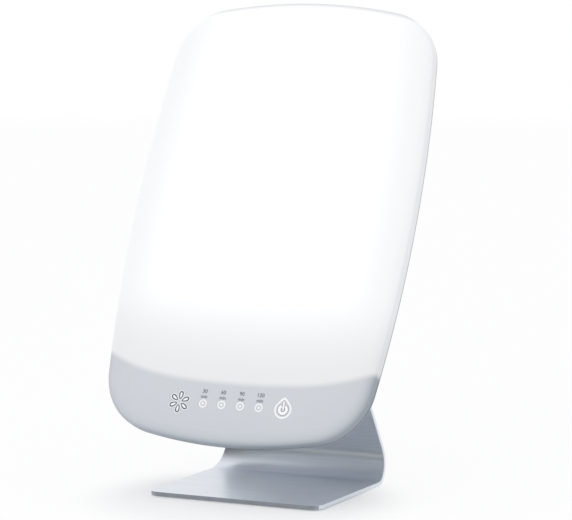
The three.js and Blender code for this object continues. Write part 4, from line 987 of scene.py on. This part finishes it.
def make_bracket():
    """Steel plate with two ears, drilled for its screws and for the pin."""
    plate = solid("bracket", slab(*BRACKET_HALF, BRACKET_CORNER, BRACKET_BACK, BRACKET_FRONT, -HINGE_DROP))
    ears = [extruded(ear_profile(), *sorted((hand * EAR_INSIDE, hand * EAR_OUTSIDE))) for hand in (-1, 1)]
    plate = combined(plate, solid("ears", *ears), "UNION")
    hole = BRACKET_SCREW[0] + SEAM
    holes = [post(hole, BRACKET_BACK - 2, BRACKET_BACK + 5, x, y) for x, y in BRACKET_PLACES]
    return bored(combined(plate, solid("holes", *holes), "DIFFERENCE"), PIN_RADIUS + 0.2, ON_PIN)


def weld_bead(hand):
    """A rippled fillet along the outside of an ear's foot."""
    foot = BRACKET_HALF[1] - BRACKET_CORNER - 1
    rows = []
    for k in range(BEAD_STEPS + 1):
        y = -HINGE_DROP - foot + 2 * foot * k / BEAD_STEPS
        taper = min(1, 6 * sin(pi * k / BEAD_STEPS) + 0.02)
        reach = BEAD_REACH * taper * (1 + 0.12 * sin(k * 1.6))
        rows.append([(hand * (EAR_OUTSIDE - 0.2), y, BRACKET_BACK + 0.2)] + [
            (hand * (EAR_OUTSIDE - 0.1 + reach * cos(t)), y, BRACKET_BACK + 0.1 - reach * sin(t))
            for t in arc_steps(6)])
    return capped(rows)


def hexagon_end(radius, seat, outer):
    """Rows of a hexagon whose outer corners are turned down, as a nut's or bolt's are."""
    step = copysign(1, outer - seat)
    return [
        (radius, seat, hexagon), (radius, outer - step * 0.9, hexagon),
        (radius * 0.97, outer - step * 0.45, lambda turn: min(hexagon(turn), 0.955)),
        (radius * 0.86, outer),
    ]


NUT_SEAT = EAR_OUTSIDE + 2 * SEAM + SPRING_WASHER[1]


def make_pin():
    """A hexagon-headed pin with a threaded tail."""
    radius, height = PIN_HEAD
    seat = -EAR_OUTSIDE - SEAM
    end = NUT_SEAT + HINGE_NUT[1] + PIN_TAIL
    profile = [
        (0, seat - height), *reversed(hexagon_end(radius, seat, seat - height)),
        (PIN_RADIUS, seat), (PIN_RADIUS, EAR_OUTSIDE),
        *thread(EAR_OUTSIDE + 0.2, end - 0.7, PIN_RADIUS, *PIN_THREAD), (PIN_RADIUS - 0.7, end), (0, end),
    ]
    return turned(profile, sides=72)


def ring_on_pin(outer, left, right, split=0):
    """A washer with rounded rims, split where it springs."""
    bore, soft = PIN_RADIUS + SEAM, min(0.25, (right - left) / 4)
    profile = [
        (bore, left + soft), (bore + soft, left), (outer - soft, left), (outer, left + soft),
        (outer, right - soft), (outer - soft, right), (bore + soft, right), (bore, right - soft),
    ]
    if not split:
        return turned(profile, sides=56, joined=True)
    return capped([[(r * cos(turn), r * sin(turn), z) for r, z in profile]
                   for turn in arc_steps(56, split, 2 * pi - split)])


def make_nut():
    (radius, height), seat = HINGE_NUT, NUT_SEAT
    bore, top = PIN_RADIUS + 0.2, seat + height
    ends = hexagon_end(radius, seat + height / 2, top)
    back = [(r, seat + top - z, *shape) for r, z, *shape in reversed(ends)]
    profile = [
        (bore + NUT_CHAMFER, seat), *back, *ends[1:], (bore + NUT_CHAMFER, top),
        (bore, top - NUT_CHAMFER), (bore, seat + NUT_CHAMFER),
    ]
    return turned(profile, sides=72, joined=True)


def make_block():
    """A foot on the upright that rises to a round barrel about the pin."""
    half, foot = BLOCK_FOOT
    shoulder = SEAM + foot
    rise = STANDOFF - shoulder
    touch = acos(BARREL_RADIUS / hypot(half, rise)) - atan2(rise, half)
    barrel = [(TO_HINGE + BARREL_RADIUS * cos(t), STANDOFF + BARREL_RADIUS * sin(t))
              for t in arc_steps(28, touch, pi - touch)]
    low, high = TO_HINGE - half, TO_HINGE + half
    profile = [(low, SEAM), (high, SEAM), (high, shoulder), *barrel, (low, shoulder)]
    reach = EAR_INSIDE - FRICTION_WASHER[1] - 2 * SEAM
    made = solid("block", extruded(profile, -reach, reach))
    pilots = [post(BLOCK_SCREW[0] + 0.2, -2, 4, x, y) for x, y in BLOCK_PLACES]
    made = combined(made, solid("pilots", *pilots), "DIFFERENCE")
    on_block = Matrix.Translation((0, TO_HINGE, STANDOFF)) @ Matrix.Rotation(pi / 2, 4, "Y")
    return bored(made, PIN_RADIUS + 0.1, on_block)


def place_hinge():
    on_pin = HEAD @ ON_PIN
    inside, outside = EAR_INSIDE - SEAM, EAR_OUTSIDE + SEAM
    thin = inside - FRICTION_WASHER[1]
    place(make_bracket(), HEAD, ZINC, "head", "hinge_bracket", edge=0.25)
    for side, hand in (("left", -1), ("right", 1)):
        place(solid(f"weld_{side}", weld_bead(hand)), HEAD, ZINC, "head")
        washer = ring_on_pin(FRICTION_WASHER[0], *sorted((hand * thin, hand * inside)))
        place(solid(f"washer_{side}", washer), on_pin, NYLON, "head", f"friction_washer_{side}")
    place(solid("pin", make_pin()), on_pin, ZINC, "head", "hinge_pin")
    spring = ring_on_pin(SPRING_WASHER[0], outside, outside + SPRING_WASHER[1], SPRING_SPLIT)
    place(solid("split_washer", spring), on_pin, ZINC, "head", "spring_washer")
    place(solid("nut", make_nut()), on_pin, ZINC, "head", "hinge_nut")
    place(make_block(), UPRIGHT, ANODISED, "stand", "hinge_block", edge=0.4)


# Printing on the face

def on_face(name, material, *parts):
    """Lay a flat print, drawn in X and Y, on the outside of the cover."""
    points, faces = merged(parts)
    lifted = []
    for x, y, *_ in points:
        hit, normal, *_ = FACE.ray_cast(Vector((x, y, ABOVE_FACE)), Vector((0, 0, -1)))
        lifted.append(hit + normal * PRINT_LIFT)
    mesh = mesh_of(name, lifted, faces)
    work = bmesh.new()
    work.from_mesh(mesh)
    bmesh.ops.recalc_face_normals(work, faces=work.faces)
    for face in work.faces:
        if face.normal.z < 0:
            face.normal_flip()
    work.to_mesh(mesh)
    work.free()
    mesh.transform(HEAD)
    mesh.materials.append(material)
    mesh.shade_smooth()
    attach(object_of(mesh), "head")


def timer_sign():
    """Six petals round a centre: each a grey line about a white leaf, on a white halo."""
    lines, leaves, halos = [], [], []
    length, width = PETAL_HALF
    for k in range(6):
        turn = radians(PETAL_TURN + 60 * k)
        along, across = Vector((cos(turn), sin(turn))), Vector((-sin(turn), cos(turn)))
        middle = TIMER_SIGN + along * PETAL_REACH
        edges = [[tuple(middle + along * ((length + grow) * cos(t))
                        + across * ((width + grow) * sin(t) * (1 + 0.3 * cos(t))))
                  for t in arc_steps(32, 0, 2 * pi)[:-1]] for grow in PETAL_GROWTH]
        halos.append(skin(edges[:2]))
        lines.append(skin(edges[1:]))
        leaves.append(skin([edges[2], [tuple(middle)]]))
    on_face("timer_sign_halo", WHITE_INK, *halos)
    on_face("timer_sign_line", GREY_INK, *lines)
    on_face("timer_sign_leaf", WHITE_INK, *leaves)


def drop(radius, peak):
    """A round loop about the power key's middle, drawn up to a point."""
    def shape(turn):
        lean = abs((turn - pi / 2 + pi) % (2 * pi) - pi)
        return 1 + (peak / radius - 1) * max(0, 1 - lean / 0.75) ** 1.6
    return disc_row(radius, 0, *POWER_SIGN, 64, shape)


def power_arc(inner, outer, gap, steps=40):
    """A ring about the power key's middle, open at its top."""
    turns = arc_steps(steps, pi / 2 + gap, pi * 2.5 - gap)
    points = [(POWER_SIGN.x + r * cos(t), POWER_SIGN.y + r * sin(t)) for r in (inner, outer) for t in turns]
    return points, [(k, k + 1, steps + k + 2, steps + k + 1) for k in range(steps)]


def power_bar(middle, half):
    low, high = BAR_ENDS
    corners = ((-half, low), (half, low), (half, high), (-half, high))
    return [(POWER_SIGN.x + middle + x, POWER_SIGN.y + y) for x, y in corners], [(0, 1, 2, 3)]


def power_sign():
    """A white drop-shaped loop about the usual power symbol, whose white lines have grey edges."""
    edges = [power_arc(*arc) for arc in ARC_EDGES] + [power_bar(*bar) for bar in BAR_EDGES]
    on_face("power_sign_loop", WHITE_INK, skin([drop(*LOOP_OUTSIDE), drop(*LOOP_INSIDE)]))
    on_face("power_sign_edge", GREY_INK, *edges)
    on_face("power_sign_line", WHITE_INK, power_arc(*ARC), power_bar(*BAR))


def lettering(name, words, size, x, y):
    """Plain figures or a plain word, centred on a place."""
    curve = bpy.data.curves.new(name, "FONT")
    curve.body = words
    curve.size = size
    curve.align_x = curve.align_y = "CENTER"
    curve.resolution_u = 3
    curve.offset = LETTER_WEIGHT
    letters = object_of(curve)
    mesh = evaluated(letters)
    bpy.data.objects.remove(letters)
    points = [(x + v.co.x, y + v.co.y) for v in mesh.vertices]
    on_face(name, GREY_INK, (points, [tuple(f.vertices) for f in mesh.polygons]))


def print_face():
    timer_sign()
    for k, minutes in enumerate(TIMER_MINUTES, 1):
        x, y = KEY_SHIFT + (k - 2.5) * TIMER_PITCH, -KEY_DROP
        circle = turned([(radius, 0) for radius in TIMER_RING], x, y, 48)
        dot = turned([(TIMER_DOT, 0), (0, 0)], x, y, 48)
        on_face(f"timer_ring_{k}", WHITE_INK, circle, dot)
        lettering(f"timer_minutes_{k}", str(minutes), FIGURE_SIZE, x, y + FIGURE_RISE)
        lettering(f"timer_unit_{k}", "min", UNIT_SIZE, x, y + UNIT_RISE)
    power_sign()


FACE = BVHTree.FromPolygons(*skin(face_rows(0)))

place_large_pieces()
place_hinge()
place_screws()
print_face()


# Studio

def highest(tree, top, *values):
    """The highest of several values."""
    for value in values:
        top = add(tree, "ShaderNodeMath", (top, value), operation="MAXIMUM")
    return top


def make_floor():
    """White card. It keeps the lamp's shadow, most of all right beside the plate."""
    corners = [(x * FLOOR_HALF, y * FLOOR_HALF, 0) for x, y in ((-1, -1), (1, -1), (1, 1), (-1, 1))]
    mesh = mesh_of("floor", corners, [(0, 1, 2, 3)])
    material, tree, point = new_material("white_card")
    ray = add(tree, "ShaderNodeLightPath").outputs
    seen = highest(tree, ray["Is Camera Ray"], ray["Is Glossy Ray"], ray["Is Transmission Ray"])
    away = add(tree, "ShaderNodeVectorMath", (point, SHADOW_CENTRE), operation="DISTANCE")
    near = add(tree, "ShaderNodeMapRange", (
        away, *SHADOW_REACH, *FLOOR_WHITE,
    ), interpolation_type="SMOOTHSTEP")
    far = add(tree, "ShaderNodeMapRange", (away, *HORIZON_REACH))
    clear = highest(tree, near, far)
    share = add(tree, "ShaderNodeMath", (seen, clear), operation="MULTIPLY")
    sheet = add(tree, "ShaderNodeBsdfDiffuse", {"Color": "#fafbfc"})
    white = add(tree, "ShaderNodeEmission", {"Color": "#ffffff", "Strength": 1.0})
    both = add(tree, "ShaderNodeMixShader", (share, sheet, white))
    add(tree, "ShaderNodeOutputMaterial", {"Surface": both})
    mesh.materials.append(material)
    floor = object_of(mesh)


def make_world():
    """A white sweep. Gloss sees it white behind, above and beside the lamp, and dark in front of it."""
    world = bpy.data.worlds.new("studio")
    world.use_nodes = True
    tree = world.node_tree
    tree.nodes.clear()
    ray = add(tree, "ShaderNodeLightPath").outputs
    point = add(tree, "ShaderNodeTexCoord").outputs["Generated"]
    toward = add(tree, "ShaderNodeSeparateXYZ", {"Vector": point}).outputs["Y"]
    front = add(tree, "ShaderNodeMapRange", (toward, *FRONT_REACH, STUDIO_FRONT, 1.0))
    gloss = add(tree, "ShaderNodeMapRange", (ray["Is Glossy Ray"], 0.0, 1.0, SKY, front))
    direct = highest(tree, ray["Is Camera Ray"], ray["Is Transmission Ray"])
    strength = add(tree, "ShaderNodeMapRange", (direct, 0.0, 1.0, gloss, 1.0))
    sky = add(tree, "ShaderNodeBackground", {"Color": "#ffffff", "Strength": strength})
    add(tree, "ShaderNodeOutputWorld", {"Surface": sky})
    bpy.context.scene.world = world


def make_light(name, kind, energy, toward, distance, **settings):
    """Broad soft light. Gloss doesn't show it, because the world stands for what is seen there."""
    data = bpy.data.lights.new(name, kind)
    data.energy = energy
    for setting, value in settings.items():
        setattr(data, setting, value)
    aimed(data, Vector(toward).normalized(), distance).visible_glossy = False


make_floor()
make_world()
make_light("window", "SUN", SUN, (0.05, 0.7, -1.0), 3.0, angle=SUN_ANGLE)
make_light("softbox", "AREA", SOFTBOX, (0.1, 1.0, -0.6), 1.5, size=SOFTBOX_SIZE)
bpy.context.scene.view_settings.view_transform = "Standard"
